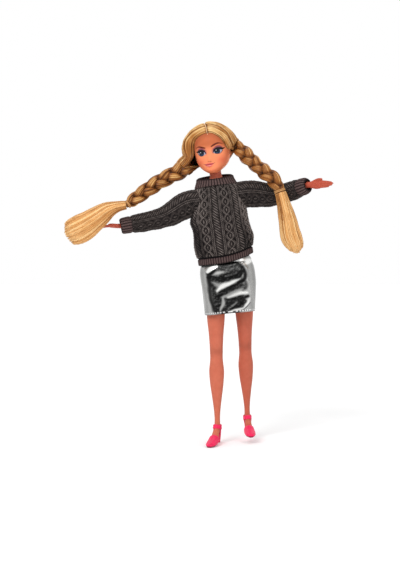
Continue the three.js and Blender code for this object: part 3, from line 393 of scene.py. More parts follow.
def make_piece(name, body, points, faces, material, slot, stands_for=(), **layers):
    """A visible piece, in metres; its layers are the paint and the places along its fibres."""
    mesh = bpy.data.meshes.new(name)
    mesh.from_pydata(np.asarray(points).tolist(), [], faces)
    for layer, values in layers.items():
        kind, field = ("FLOAT_COLOR", "color") if layer == "paint" else ("FLOAT_VECTOR", "vector")
        if layer == "paint":
            values = np.column_stack([values, np.ones(len(values))])
        attribute = mesh.attributes.new(layer, kind, "POINT")
        attribute.data.foreach_set(field, np.asarray(values, np.float32).ravel())
    face_outwards(mesh)
    mesh.shade_smooth()
    mesh.materials.append(material)
    piece = linked(name, mesh)
    if body:
        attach(piece, body)
    if stands_for:
        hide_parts(*stands_for)
    return piece


def ring_normals(rings):
    """Outward ways of a grid of rings."""
    around = np.roll(rings, -1, 1) - np.roll(rings, 1, 1)
    ways = unit(np.cross(around, np.gradient(rings, axis=0)) + 1e-9)
    out = rings - rings.mean(1, keepdims=True)
    return ways * np.sign((ways * out).sum(-1).mean())


def fused(name, parts, voxel, rounds):
    """Closed bodies melted into one smooth skin."""
    points, faces = joined(parts)
    mesh = bpy.data.meshes.new(name)
    mesh.from_pydata(points.tolist(), [], faces)
    face_outwards(mesh)
    return remeshed(name, mesh, voxel, rounds)


def remeshed(name, mesh, voxel, rounds):
    """A mesh in metres made anew in even cells and smoothed, as points and faces."""
    draft = linked(name + "_draft", mesh)
    remesh = draft.modifiers.new("remesh", "REMESH")
    remesh.mode = "VOXEL"
    remesh.voxel_size = voxel * MM
    smooth = draft.modifiers.new("smooth", "SMOOTH")
    smooth.factor = 0.5
    smooth.iterations = rounds
    result = draft.evaluated_get(bpy.context.evaluated_depsgraph_get()).to_mesh()
    points = np.empty(len(result.vertices) * 3)
    result.vertices.foreach_get("co", points)
    faces = [tuple(polygon.vertices) for polygon in result.polygons]
    bpy.data.objects.remove(draft)
    return points.reshape(-1, 3), faces


def toned(value, tones):
    """Colours from dark over middle to light, for values from 0 to 1."""
    dark, middle, light = tones
    value = np.clip(value, 0, 1)[..., None]
    low = dark + (middle - dark) * np.clip(value * 2, 0, 1)
    return low + (light - middle) * np.clip(value * 2 - 1, 0, 1)


# Skin colours, with painted shade and light among them: the forehead, jaw and face shade tones, the arms' tone,
# the left leg's tone, and the lower lip's highlight
SKIN_AND_SHADE_TONES = {"right": linear((208, 113, 87)), "left": linear((198, 104, 80))}
FACE_TONE = linear((255, 152, 106))
FOREHEAD_SHADE_TONE = linear((196, 104, 62))
ARM_SHADE_TONE = linear((190, 86, 64))
BROW_TONE = linear((92, 24, 12))
LASH_TONE = linear((12, 8, 16))
IRIS_TONE = linear((12, 22, 48))
IRIS_LIGHT = linear((48, 96, 124))
WHITE_TONE = linear((176, 174, 196))
GLINT_TONE = linear((255, 255, 255))
SHADOW_TONE = linear((116, 62, 100))
LIP_TONE = linear((232, 110, 108))
LIP_HIGHLIGHT_TONE = linear((248, 168, 168))
LIP_LINE = linear((120, 40, 40))
BLUSH_TONE = linear((244, 104, 80))
FACE_SHADE_TONE = linear((150, 72, 40))
JAW_SHADE_TONE = linear((206, 92, 56))

# Head, measured up from the chin
HEAD_HEIGHT = 43.5
HEAD_HALF = 16.2
HEAD_DEPTH = 19
# Share of the height, and shares of the half width, the front and the back
HEAD_SHARES = [
    (0, 0.22, 0.66, -0.25), (0.05, 0.43, 0.75, 0), (0.115, 0.64, 0.77, 0.3), (0.19, 0.8, 0.79, 0.58),
    (0.28, 0.91, 0.82, 0.76), (0.39, 0.975, 0.84, 0.89), (0.5, 1.0, 0.85, 0.97), (0.62, 1, 0.84, 1),
    (0.74, 0.95, 0.77, 0.96), (0.85, 0.8, 0.61, 0.82), (0.94, 0.52, 0.36, 0.53), (0.985, 0.27, 0.17, 0.28),
    (1, 0.05, 0.02, 0.06),
]
# Forms of the face: side, rise, spread to the side and in height, how far it stands out
FACE_FORMS = [
    (-0.8, 11.2, 1.8, 1.7, 1.2), (-0.4, 14.2, 1.8, 2.4, 0.4), (0, 18.5, 1.8, 2.6, 0.2),
    (1, 10.4, 0.9, 0.8, 0.3), (-2.6, 10.4, 0.9, 0.8, 0.3), (-0.8, 9.2, 1.6, 0.6, -0.12),
    (-1.7, 8.3, 2.8, 0.75, 0.8), (-1.7, 6.1, 2.4, 0.8, 0.9), (-1.7, 7.25, 3.4, 0.28, -0.45),
    (-1.4, 4.4, 2.6, 0.7, -0.4), (-1, 1.9, 3.0, 1.7, 0.9), (0, 28, 8, 4, 0.5),
]
# Sockets, eyeballs, brow bones and cheeks, the same on both sides
PAIRED_FORMS = [
    (7, 18.3, 3.4, 2.2, -1.0), (7, 18.2, 2.7, 1.9, 0.7), (8, 23.4, 3.8, 1.3, 0.35),
    (8.4, 11.6, 3.4, 3.2, 0.75),
]
FACE_FORMS += [(side * sign, *rest) for side, *rest in PAIRED_FORMS for sign in SIGNS.values()]


def head_section(rise):
    half, front, back = spline(HEAD_SHARES, np.asarray(rise) / HEAD_HEIGHT).T
    half, front, back = half * HEAD_HALF, front * HEAD_DEPTH, back * HEAD_DEPTH
    return half, (back - front) / 2, (back + front) / 2


def face_relief(side, rise):
    return sum(
        out * np.exp(-(((side - x) / wide) ** 2) - ((rise - z) / tall) ** 2)
        for x, z, wide, tall, out in FACE_FORMS
    )


def stroke(side, rise, line, soft=0.12):
    """How strongly a painted line covers each place; line rows are side, rise, half-width."""
    dense = spline([(i, *row) for i, row in enumerate(line)], np.linspace(0, len(line) - 1, 60))
    cover = np.zeros_like(side)
    for x, z, wide in dense:
        away = np.hypot(side - x, rise - z)
        cover = np.maximum(cover, smoothstep((wide + soft - away) / (2 * soft)))
    return cover


def disc(side, rise, x, z, wide, tall, soft=0.15):
    away = np.hypot((side - x) / wide, (rise - z) / tall)
    return smoothstep((1 + soft - away) / (2 * soft))


def inside(side, rise, low, high, soft=0.15):
    """Between a lower and an upper edge, tables of side and rise."""
    bottom = spline(low, side)[..., 0]
    top = spline(high, side)[..., 0]
    between = smoothstep((rise - bottom) / soft) * smoothstep((top - rise) / soft)
    return between * (side > low[0][0]) * (side < low[-1][0])


# Eyes as seen from the nose outwards, brows for each side
EYE_SIDE = 7.1
GAZE_TURN = 0.35
UPPER_LASH = [
    (3.3, 17.2, 0.3), (4.4, 19.3, 0.62), (6.9, 20.5, 1.0), (9.6, 20.4, 1.1), (11.4, 20.2, 0.8),
    (13.2, 21, 0.15),
]
UPPER_EDGE = [(3.4, 17.3), (4.6, 19.4), (7, 20.7), (9.8, 20.4), (11.3, 18.9)]
LOWER_EDGE = [(3.4, 17.2), (4.6, 16.3), (6.8, 15.7), (9.4, 16.5), (11.3, 18.8)]
LOWER_LASH = [(4.6, 16.2, 0.08), (6.8, 15.6, 0.12), (9.4, 16.3, 0.22), (11.3, 18.7, 0.34)]
CREASE = [(4, 20.4, 0.1), (6.9, 22.1, 0.12), (10, 21.8, 0.12), (12, 20.9, 0.05)]
LID_TOP = [(2.6, 20.6), (6.9, 23.4), (10, 23.2), (12.4, 21)]
LASH_SHADE = [(3.4, 18.6), (7, 19.7), (11.3, 18.8)]
# Tone, cover, rise, half width, half height and softness
EYE_DISCS = [
    (IRIS_TONE, 1, 18.15, 2.5, 2.7, 0.08), (IRIS_LIGHT, 0.45, 17, 1.1, 0.8, 0.4),
    (LASH_TONE, 1, 18.4, 0.95, 1.15, 0.12),
]
BROWS = [
    [(-3.6, 22.2, 0.56), (-6, 23.1, 0.72), (-8.6, 24.2, 0.64), (-10.8, 24.4, 0.4), (-12.8, 23.8, 0.14)],
    [(2.5, 22.8, 0.56), (4.8, 23.9, 0.72), (7.6, 25, 0.66), (9.8, 25, 0.4), (12, 24.2, 0.14)],
]
NOSE_SIDE = -0.8
MOUTH_SIDE = -1.7
MOUTH_LINE = [(-5.4, 8.5, 0.14), (-2.6, 7.4, 0.24), (0, 7.15, 0.24), (2.6, 7.4, 0.24), (5.4, 8.5, 0.14)]
UPPER_LIP = [(-4.8, 8.2), (-2.1, 8.6), (-0.7, 8.7), (0, 8.45), (0.7, 8.7), (2.1, 8.6), (4.8, 8.2)]
LOWER_LIP = [(-4.8, 8.1), (-2.3, 5.9), (0, 5.1), (2.3, 5.9), (4.8, 8.1)]


def painted_face(side, rise, front):
    colour = np.tile(FACE_TONE, (len(side), 1))

    def lay(tone, cover):
        share = (np.clip(cover, 0, 1) * front)[:, None]
        colour[:] = colour * (1 - share) + tone * share

    # Painted shade over the forehead, along the hairline and round the lower face
    lay(FOREHEAD_SHADE_TONE, 0.9 * smoothstep(rise, 18, 26))
    lay(FACE_SHADE_TONE, 0.4 * smoothstep(np.hypot(side / 15.6, (rise - 12) / 21), 0.82, 1.08) * (rise > 14))
    lay(JAW_SHADE_TONE, 0.5 * smoothstep(np.hypot(side / 15.2, (rise - 19) / 19.5), 0.7, 1.0) * (rise < 19))
    for sign in SIGNS.values():
        away = side * sign
        lay(BLUSH_TONE, 0.45 * np.exp(-(((away - 9.4) / 3.6) ** 2) - ((rise - 10.5) / 3) ** 2))
        lay(SHADOW_TONE, 0.8 * inside(away, rise, UPPER_EDGE, LID_TOP, 1.2))
        lay(SHADOW_TONE, 0.5 * disc(away, rise, 3.4, 18.4, 1.2, 2.2, 0.7))
        lay(BROW_TONE, 0.4 * stroke(away, rise, CREASE, 0.3))
        eye = inside(away, rise, LOWER_EDGE, UPPER_EDGE)
        lay(WHITE_TONE, eye)
        gaze = EYE_SIDE - GAZE_TURN * sign
        for tone, cover, height, wide, tall, soft in EYE_DISCS:
            lay(tone, eye * cover * disc(away, rise, gaze, height, wide, tall, soft))
        lay(GLINT_TONE, disc(side, rise, sign * gaze - 0.8, 19.1, 0.32, 0.32, 0.2))
        lay(LASH_TONE, 0.7 * inside(away, rise, LASH_SHADE, UPPER_EDGE, 0.3))
        lay(LASH_TONE, 0.8 * stroke(away, rise, LOWER_LASH, 0.16))
        lay(LASH_TONE, stroke(away, rise, UPPER_LASH, 0.14))
        # Painted shade under this side of the nose
        lay(FACE_SHADE_TONE, 0.35 * disc(side - NOSE_SIDE, rise, 1.1 * sign, 9.9, 0.55, 0.3, 0.5))
    for line in BROWS:
        lay(BROW_TONE, stroke(side, rise, line, 0.3))
    mouth = side - MOUTH_SIDE
    lay(LIP_TONE, inside(mouth, rise, LOWER_LIP, UPPER_LIP, 0.25))
    # Painted highlight on the lower lip
    lay(LIP_HIGHLIGHT_TONE, 0.7 * disc(mouth, rise, -0.3, 6.2, 1.9, 0.45, 0.6))
    lay(LIP_LINE, 0.75 * stroke(mouth, rise, MOUTH_LINE, 0.16))
    # Painted shade under the nose
    lay(FACE_SHADE_TONE, 0.35 * disc(side, rise, NOSE_SIDE, 9.5, 1.9, 0.55, 0.7))
    return colour


# Half the turn and the height of the face, which has finer cells than the rest of the head
FACE_TURN = 1.27
FACE_TOP = 28


def make_head():
    """The painted head with its ears."""
    rises = np.concatenate([np.linspace(0, FACE_TOP, 215), np.linspace(FACE_TOP + 0.3, HEAD_HEIGHT, 60)])
    front_turns = np.linspace(-FACE_TURN, FACE_TURN, 260)
    back_turns = np.linspace(FACE_TURN, TAU - FACE_TURN, 60)[1:-1]
    turns = np.concatenate([front_turns, back_turns]) - math.pi / 2
    half, middle, deep = (value[:, None] for value in head_section(rises))
    side = half * np.cos(turns)
    rise = rises[:, None] + 0 * side
    facing = smoothstep(-np.sin(turns), 0.1, 0.45)
    depth = middle + deep * np.sin(turns) - face_relief(side, rise) * facing
    points, faces = loft(np.stack([side, depth, rise], -1))
    facing = np.append(np.broadcast_to(facing, side.shape), [0, 0])
    paint = painted_face(points[:, 0], points[:, 2], facing)
    all_points, all_faces = joined([(points, faces), ear(-1), ear(1)])
    extra = np.tile(FACE_TONE, (len(all_points) - len(points), 1))
    make_piece("head_skin", "head", on_head(all_points), all_faces, FACE, "skin", ["head_shell"],
               paint=np.vstack([paint, extra]))


EAR_SIDE = 14.7
EAR_RISE = 17.6
EAR_DEPTH = 1.2
EAR_TALL = 3.5
EAR_WIDE = 2.2
# Share of the ear's size, and how far out
EAR_ROWS = [(1, -1.2), (1.04, 0.2), (1, 1.1), (0.86, 1.5), (0.7, 1.2), (0.5, 0.5), (0.2, 0.4)]


def ear(sign):
    """A shallow shell with a rim and a hollow."""
    turns = full_turn(36)
    rows = []
    for reach, out in EAR_ROWS:
        rise = EAR_RISE + EAR_TALL * reach * np.sin(turns) * (1 + 0.12 * np.sin(turns))
        depth = EAR_DEPTH + EAR_WIDE * reach * np.cos(turns) * (1 + 0.2 * np.sin(turns))
        side = sign * (EAR_SIDE + out + 0.35 * np.cos(turns))
        rows.append(np.stack([side, depth, rise], -1))
    return loft(np.array(rows))


# Hair: a combed mass that is parted in the middle and gathered at both sides
HAIR_HEIGHT = 47.2
HAIR_REACH = {"right": 28.2, "left": 24}
HAIR_FRONT = 18.4
HAIR_BACK = 23.4
# Share of the height, and shares of the half width, the front and the back
HAIR_SHARES = [
    (0, 0.42, 0.1, 0.5), (0.11, 0.56, 0.2, 0.66), (0.21, 0.78, 0.45, 0.81), (0.36, 0.93, 0.76, 0.94),
    (0.51, 1, 0.93, 1), (0.66, 0.93, 1, 1), (0.79, 0.76, 0.94, 0.9), (0.89, 0.56, 0.71, 0.7),
    (0.965, 0.29, 0.38, 0.38), (1, 0.02, 0.03, 0.03),
]
HAIR_CENTRE = np.array((0, 0, 20.0))
LEAST_REACH = 2.0
MOST_REACH = 48.0
HALVINGS = 26
# The lower front edge of each side
HAIR_EDGES = {
    "right": [(0, -15, 37.4), (-6, -14, 36.8), (-9.8, -12.5, 35), (-13, -9.5, 31.6), (-15.6, -6, 25.6),
              (-16.9, -4, 20), (-20.5, -4, 17.6), (-26, -4.5, 13.5)],
    "left": [(0, -15, 37.4), (4.4, -14.2, 36), (8, -13.4, 33), (11.8, -11, 27.8), (14.6, -8.5, 21.9),
             (16.8, -5, 18.2), (19.4, -3.4, 18.6), (23, -3, 18)],
}
# The hairline from the back's middle to the gather
HAIR_NAPES = {
    "right": [(0, 13, 7), (-7, 12, 5.5), (-12.5, 8.5, 5), (-16.5, 4.5, 6.5), (-22, 2, 8)],
    "left": [(0, 13, 7), (6, 12, 5.8), (10.5, 9.5, 7), (13, 7, 10.5), (15.5, 4, 15), (20.5, 0, 19)],
}
# The stem that each side is gathered into
HAIR_STEMS = {
    "right": [(-13, 5, 22), (-21, 3, 14.5), (-28.6, 0.5, 8.2)],
    "left": [(10, 5, 26.6), (16.4, 1.8, 24.8), (22.2, -2.4, 22)],
}
# Share along the stem, half height and half depth
STEM_SIZES = {
    "right": [(0, 10, 10), (0.4, 9.6, 9), (0.75, 8.6, 7), (1, 7.6, 5.6)],
    "left": [(0, 10.5, 10.5), (0.4, 8.8, 9), (0.75, 7, 6.6), (1, 5.7, 5)],
}
# First turn round the stem, the span of the strands there, and how much it grows up to the plait
STEM_WRAPS = {"right": (-104, 252, 112), "left": (-138, 236, 124)}
# Share of the strands' length over which they go from the head to the stem
STEM_BLENDS = {"right": (0.5, 0.92), "left": (0.66, 0.97)}
STEM_START = 0.45
SCALP_GAP = 0.25
PARTING_LEAN = 0.16
PARTING_TURNS = (45, 216)
# Dark, middle and light tones of the hair, plaits and tails; the dark ends also carry painted shade and the light
# ends painted highlights
HAIR_TONES = linear([(74, 34, 10), (188, 126, 64), (255, 222, 162)])
PLAIT_TONES = linear([(44, 18, 6), (154, 96, 46), (252, 208, 140)])
TAIL_TONES = linear([(150, 92, 44), (230, 170, 106), (255, 216, 160)])


def radius_along(ways, section):
    """How far a surface lies from the middle of the hair, by halving."""
    low = np.full(ways.shape[:-1], LEAST_REACH)
    high = np.full(ways.shape[:-1], MOST_REACH)
    for _ in range(HALVINGS):
        middle = (low + high) / 2
        outside = section(HAIR_CENTRE + ways * middle[..., None]) > 1
        high = np.where(outside, middle, high)
        low = np.where(outside, low, middle)
    return low


def hair_section(name):
    def section(place):
        side, rise, deep = place[..., 0], place[..., 2], place[..., 1]
        half, front, back = np.moveaxis(spline(HAIR_SHARES, np.clip(rise / HAIR_HEIGHT, 0, 1)), -1, 0)
        reach = np.where(deep < 0, front * HAIR_FRONT, back * HAIR_BACK)
        return (side / half / HAIR_REACH[name]) ** 2 + (deep / reach) ** 2 + 9 * (rise > HAIR_HEIGHT)
    return section


def scalp_section(place):
    side, rise, ahead = place[..., 0], place[..., 2], place[..., 1]
    half, middle, deep = (v.reshape(side.shape) for v in head_section(np.clip(rise, 0, HEAD_HEIGHT).ravel()))
    return (side / half) ** 2 + ((ahead - middle) / deep) ** 2 + 9 * (rise > HEAD_HEIGHT)


def slerp(first, second, share):
    angle = np.arccos(np.clip((first * second).sum(-1, keepdims=True), -0.999, 0.999))
    return (np.sin((1 - share) * angle) * first + np.sin(share * angle) * second) / np.sin(angle)


def parting_side(angle):
    """The parting leans to the doll's right as it goes up and back."""
    return -PARTING_LEAN * smoothstep(np.degrees(angle), 48, 92)


def strand_ways(name, s, t):
    """Ways from the hair's middle along each strand: s along it, t from the front edge to the nape."""
    stem = Route([turned(place, 2, HEAD_YAW) for place in HAIR_STEMS[name]], (0, 1, 0.01))
    first, last = PARTING_TURNS
    angle = np.radians(first + (last - first) * t)
    aside = parting_side(angle) + SIGNS[name] * 0.016
    start = unit(np.stack(np.broadcast_arrays(aside, -np.cos(angle), np.sin(angle)), -1))
    entry = unit(stem.at(0.55) - HAIR_CENTRE)
    over = 0.2 * s + 0.8 * smoothstep(s, 0, 0.85)
    ways = slerp(np.broadcast_to(start, (len(s), t.size, 3)), entry, over[..., None])
    edge_way, nape_way = (
        unit(Route(table[name]).at(s[:, 0]) - HAIR_CENTRE)[:, None] for table in (HAIR_EDGES, HAIR_NAPES)
    )
    to_edge = (edge_way - ways[:, :1]) * smoothstep(t, 0.6, 0)[..., None]
    to_nape = (nape_way - ways[:, -1:]) * smoothstep(t, 0.6, 1)[..., None]
    return stem, unit(ways + to_edge + to_nape)


def make_hair(name):
    """One side of the combed hair: over the head at first, and then round the stem of its plait."""
    sign = SIGNS[name]
    t = np.linspace(0, 1, 300)[None, :]
    s = np.linspace(0, 1, 110)[:, None]

    # The hair over the head, with clumps and strands and a furrow at the parting
    stem, ways = strand_ways(name, s, t)
    mass = radius_along(ways, hair_section(name))
    scalp = radius_along(ways, scalp_section) + SCALP_GAP
    edge = smoothstep(t, 0, 0.1) * smoothstep(1 - t, 0, 0.3)
    clump = ripple(t + 0.015 * np.sin(5 * s + 9 * t), 11 + sign, 7, 24, False)
    strand = ripple(t + 0.004 * np.sin(9 * s), 23 + sign, 14, 120, False)
    furrow = 1.2 * np.exp(-((s / 0.025) ** 2))
    reach = scalp + (mass - scalp + 0.22 * clump + 0.16 * strand - furrow) * edge
    surface = HAIR_CENTRE + ways * reach[..., None]

    # The same strands round the stem, and the way from one form to the other
    q = np.clip((s - STEM_START) / (1 - STEM_START), 0, 1)
    _, stem_side, stem_back = stem.frames(q[:, 0])
    stem_up = stem_side * np.sign(stem_side[:, 2:3])
    first, span, growth = STEM_WRAPS[name]
    turn = np.radians(first + (span + growth * q) * t)
    tall, deep = table_columns(STEM_SIZES[name], q[:, 0])
    rough = 1 + (0.3 * clump + 0.14 * strand) / 7
    middle = stem.at(q[:, 0])
    ring = rings_round(middle, stem_up, stem_back, rough * tall * np.cos(turn), rough * deep * np.sin(turn))
    weight = smoothstep(s, *STEM_BLENDS[name])[..., None]
    outer = surface * (1 - weight) + ring * weight
    towards = outer - (HAIR_CENTRE * (1 - weight) + middle[:, None] * weight)
    thick = np.minimum(1.3, 0.2 + 4 * np.minimum(t, 1 - t)) * (1 - 0.35 * q)
    inner = outer - unit(towards) * thick[..., None]
    points, faces = loft(np.concatenate([outer, inner[:, ::-1]], 1))

    # Painted highlights (sheen) below the parting and at the gather, and painted shade in the parting, at the
    # front edge, underneath and on the inner side
    sheen = smoothstep(s, 0, 0.07) * smoothstep(s, 0.5, 0.12)
    low_sheen = np.exp(-(((s - 0.47) / 0.07) ** 2))
    fine = ripple(t + 0.01 * np.sin(7 * s), 41, 16, 70, False)
    tone = 0.33 + 0.05 * clump + 0.2 * strand + 0.2 * fine + 0.4 * sheen + 0.2 * low_sheen
    tone = tone - 0.4 * np.exp(-((s / 0.014) ** 2)) - 0.4 * (1 - smoothstep(t, 0, 0.035))
    tone = tone - 0.25 * smoothstep(t, 0.55, 0.75) * smoothstep(q, 0.1, 0.6)
    paint = toned(np.concatenate([tone, tone[:, ::-1] * 0.2], 1), HAIR_TONES).reshape(-1, 3)
    width, along = (np.concatenate([grid, grid[:, ::-1]], 1) for grid in (60 * t + 0 * s, 40 * s + 0 * t))
    fibre = np.stack([width, width * 0, along], -1).reshape(-1, 3)
    ends = [HAIR_TONES[0]] * 2
    make_piece(f"combed_hair_{name}", "head", on_head(points), faces, HAIR, "hair", [f"hair_{name}"],
               paint=np.vstack([paint, ends]), fibre=np.vstack([fibre, fibre[:2] * 0]))


# In degrees, from the forehead over the crown to the nape
PARTING_SPAN = (44, 210)
PARTING_RISE = (44, 52)
PARTING_FADE = (216, 165)
PARTING_HALF = 0.42
PARTING_SHARES = [(0, 0.5), (0.1, 0.9), (0.3, 1), (1, 0.7)]
PARTING_BELOW = 0.55
PARTING_THICK = 0.3


def make_parting():
    """The pale scalp that shows between the two halves of the hair."""
    degrees = np.linspace(*PARTING_SPAN, 90)
    angle = np.radians(degrees)
    ways = unit(np.stack([parting_side(angle), -np.cos(angle), np.sin(angle)], -1))
    low, high = (radius_along(ways, section) for section in (scalp_section, hair_section("right")))
    lift = smoothstep(degrees, *PARTING_RISE) * smoothstep(degrees, *PARTING_FADE)
    reach = low + (high - low) * lift - PARTING_BELOW
    half = PARTING_HALF * spline(PARTING_SHARES, np.linspace(0, 1, 90))
    half = half * (1 + 0.16 * np.sin(0.9 * degrees[:, None]))
    turn = full_turn(12)
    across = np.array([(1, 0, 0)] * len(ways))
    centre = HAIR_CENTRE + ways * reach[:, None]
    rings = rings_round(centre, across, ways, half * np.cos(turn), PARTING_THICK * np.sin(turn))
    points, faces = loft(rings)
    make_piece("parting_scalp", "head", on_head(points), faces, SCALP, "skin")


# Plaits, measured from the chin: three strands that cross in turn, a band round them and a loose tail
PLAITS = {
    "right": dict(
        route=[(-23, 2.5, 12.5), (-28.8, 0.5, 8), (-40, -3, 3.4), (-50.3, -5.9, -0.8), (-60.3, -8.6, -5.8),
               (-70.4, -10.8, -11.6), (-82.6, -13.5, -18.8)],
        widths=[(0, 1.02), (0.1, 1.15), (0.22, 1.1), (0.4, 1.03), (0.6, 1), (0.76, 0.95), (0.87, 0.86),
                (0.93, 0.68), (0.965, 0.46), (1, 0.42)],
        half=6.6, thick=4.6, seed=3, phase=0.4,
        tail=[(-82.6, -13.5, -18.4), (-89, -13.9, -18.6), (-97.3, -14.2, -20.2), (-109.9, -14.8, -26.4),
              (-122.3, -15.4, -32.8), (-139, -16, -38.2)],
        tail_sizes=[(0, 3.2, 3.2), (0.12, 4.2, 3.6), (0.3, 7.4, 3.6), (0.55, 10.2, 3.2), (0.78, 12, 2.9),
                    (0.92, 10.8, 2.3), (1, 8.6, 1.7)],
    ),
    "left": dict(
        route=[(19, 0.5, 25.6), (22.4, -2, 21.6), (26, -5, 16.4), (33, -13, 5.6), (42.2, -24, -6.9),
               (48.4, -29.5, -14.6), (51.6, -31.5, -21.4), (52.8, -32, -27.6)],
        widths=[(0, 0.66), (0.08, 0.82), (0.18, 1.06), (0.32, 1.06), (0.45, 0.98), (0.65, 1.02), (0.8, 1),
                (0.9, 0.84), (0.965, 0.7), (1, 0.68)],
        half=6.4, thick=4.4, seed=5, phase=2.2,
        tail=[(52.8, -32, -27), (54.4, -31.5, -37.5), (56.1, -30, -51.9), (57.4, -28, -66.4),
              (60.1, -26.5, -74.6), (61.2, -25.5, -81)],
        tail_sizes=[(0, 4.3, 3.4), (0.12, 4.9, 3.6), (0.3, 6.2, 3.8), (0.55, 7.7, 3.6), (0.78, 8.3, 3),
                    (0.92, 6, 2.3), (1, 3.4, 1.6)],
    ),
}
STRAND_PERIOD = 40
# Shares of the plait's half width and thickness: how far the strands swing, and how thick they are
SWING_SHARES = (0.53, 0.52)
STRAND_SHARES = (0.56, 0.6)
BAND_TURNS = 2.2
BAND_THICK = 0.45
BAND_WIDE = 1.25 * BAND_THICK
BAND_FLATNESS = 0.85
BAND_GAP = 0.4
# From and to which share of the plait, and the plait's half width there
TIE_BAND = {"right": (0.955, 0.985, 3.0), "left": (0.955, 0.985, 4.2)}


class Locks:
    """Lofted locks that make up one piece, with their paint and the places along their fibres."""

    def __init__(self, tones):
        self.tones = tones
        self.parts, self.paints, self.fibres = [], [], []

    def add(self, rings, tone, fibre, cap=0):
        self.parts.append(loft(rings))
        paint = toned(np.broadcast_to(tone, rings.shape[:2]), self.tones).reshape(-1, 3)
        self.paints.append(np.vstack([paint, paint[:1], paint[-1:]]))
        fibre = np.stack(np.broadcast_arrays(*fibre, rings[..., 0])[:3], -1).reshape(-1, 3)
        self.fibres.append(np.vstack([fibre, [(cap, 0, 0)] * 2]))

    def make(self, name, node):
        points, faces = joined(self.parts)
        make_piece(name, "head", from_chin(points), faces, HAIR, "hair", [node],
                   paint=np.vstack(self.paints), fibre=np.vstack(self.fibres))


def make_plait(name):
    """Three strands that cross in turn, and the band that ties them."""
    plan = PLAITS[name]
    route = Route(plan["route"])
    share = np.linspace(0, 1, 250)
    width = spline(plan["widths"], share)[:, 0]
    wide, thick = width * plan["half"], np.sqrt(width) * plan["thick"]
    loose = smoothstep(1 - share, 0.02, 0.1)
    _, across, deep = route.frames(share)
    base = route.at(share)
    turn = full_turn(48)
    locks = Locks(PLAIT_TONES)
    for k in range(3):
        phase = TAU * share * route.length / STRAND_PERIOD + TAU * k / 3 + plan["phase"]
        aside = SWING_SHARES[0] * wide * np.sin(phase) * (0.6 + 0.4 * loose)
        ahead = SWING_SHARES[1] * thick * np.sin(2 * phase) * (0.3 + 0.7 * loose)
        centre = base + across * aside[:, None] + deep * ahead[:, None]
        way = unit(np.gradient(centre, axis=0))
        flat = unit(np.cross(deep, way))
        groove = 1 + 0.05 * ripple(turn / TAU, plan["seed"] + k, 8, 13)
        fine = 1 + 0.025 * ripple(turn / TAU + 0.3 * share[:, None], plan["seed"] + 7 * k, 6, 20)
        swell = 1 + 0.1 * np.cos(2 * phase)
        x = (STRAND_SHARES[0] * wide * swell)[:, None] * groove * fine * np.cos(turn)
        y = (STRAND_SHARES[1] * thick)[:, None] * groove * fine * np.sin(turn)
        rings = rings_round(centre, flat, np.cross(way, flat), x, y)
        # Tone of each strand: painted shade where it dips towards the plait's middle, a painted highlight on its
        # bumps (lit), streaks of its own, and lighter next to the band
        out = rings - base[:, None]
        wide_share = (out * across[:, None]).sum(-1) / (1.1 * wide)[:, None]
        deep_share = (out * deep[:, None]).sum(-1) / (1.1 * thick)[:, None]
        crown = smoothstep(np.hypot(wide_share, deep_share), 0.5, 1.02)
        streak = 0.16 * ripple(turn / TAU, plan["seed"] + 31 * k, 10, 18)
        lit = 0.42 * smoothstep(np.sin(phase * 2 + 0.8), 0.2, 1)[:, None]
        tone = 0.02 + (0.5 + streak + lit) * crown + 0.25 * (1 - loose)[:, None]
        along = (share * route.length)[:, None]
        locks.add(rings, tone, (3.2 * np.cos(turn) + 20 * k, 3.2 * np.sin(turn) + 20 * k, along))
    locks.make(f"braid_{name}", f"plait_{name}")
    make_band(f"tie_band_{name}", route, *TIE_BAND[name])


def make_band(node, route, low, high, neck):
    """An elastic wound round the hair between two shares of its route."""
    share = np.linspace(0, 1, 150)
    place = low + (high - low) * share
    _, across, deep = route.frames(place)
    turn = (TAU * BAND_TURNS * share)[:, None]
    out = across * np.cos(turn) + BAND_FLATNESS * deep * np.sin(turn)
    path = route.at(place) + out * (neck + BAND_GAP)
    side = np.cross(unit(np.gradient(path, axis=0)), out)
    spin = full_turn(12)
    rings = rings_round(path, out, side, BAND_THICK * np.cos(spin), BAND_WIDE * np.sin(spin))
    points, faces = loft(rings)
    make_piece(f"wound_{node}", "head", from_chin(points), faces, ELASTIC, "elastic", [node])


TAIL_STRANDS = 1200
LOOSE_WIDE = 1.9
LOOSE_THICK = 0.6
CORE_SHARE = 0.94
CORE_FIBRE = 5


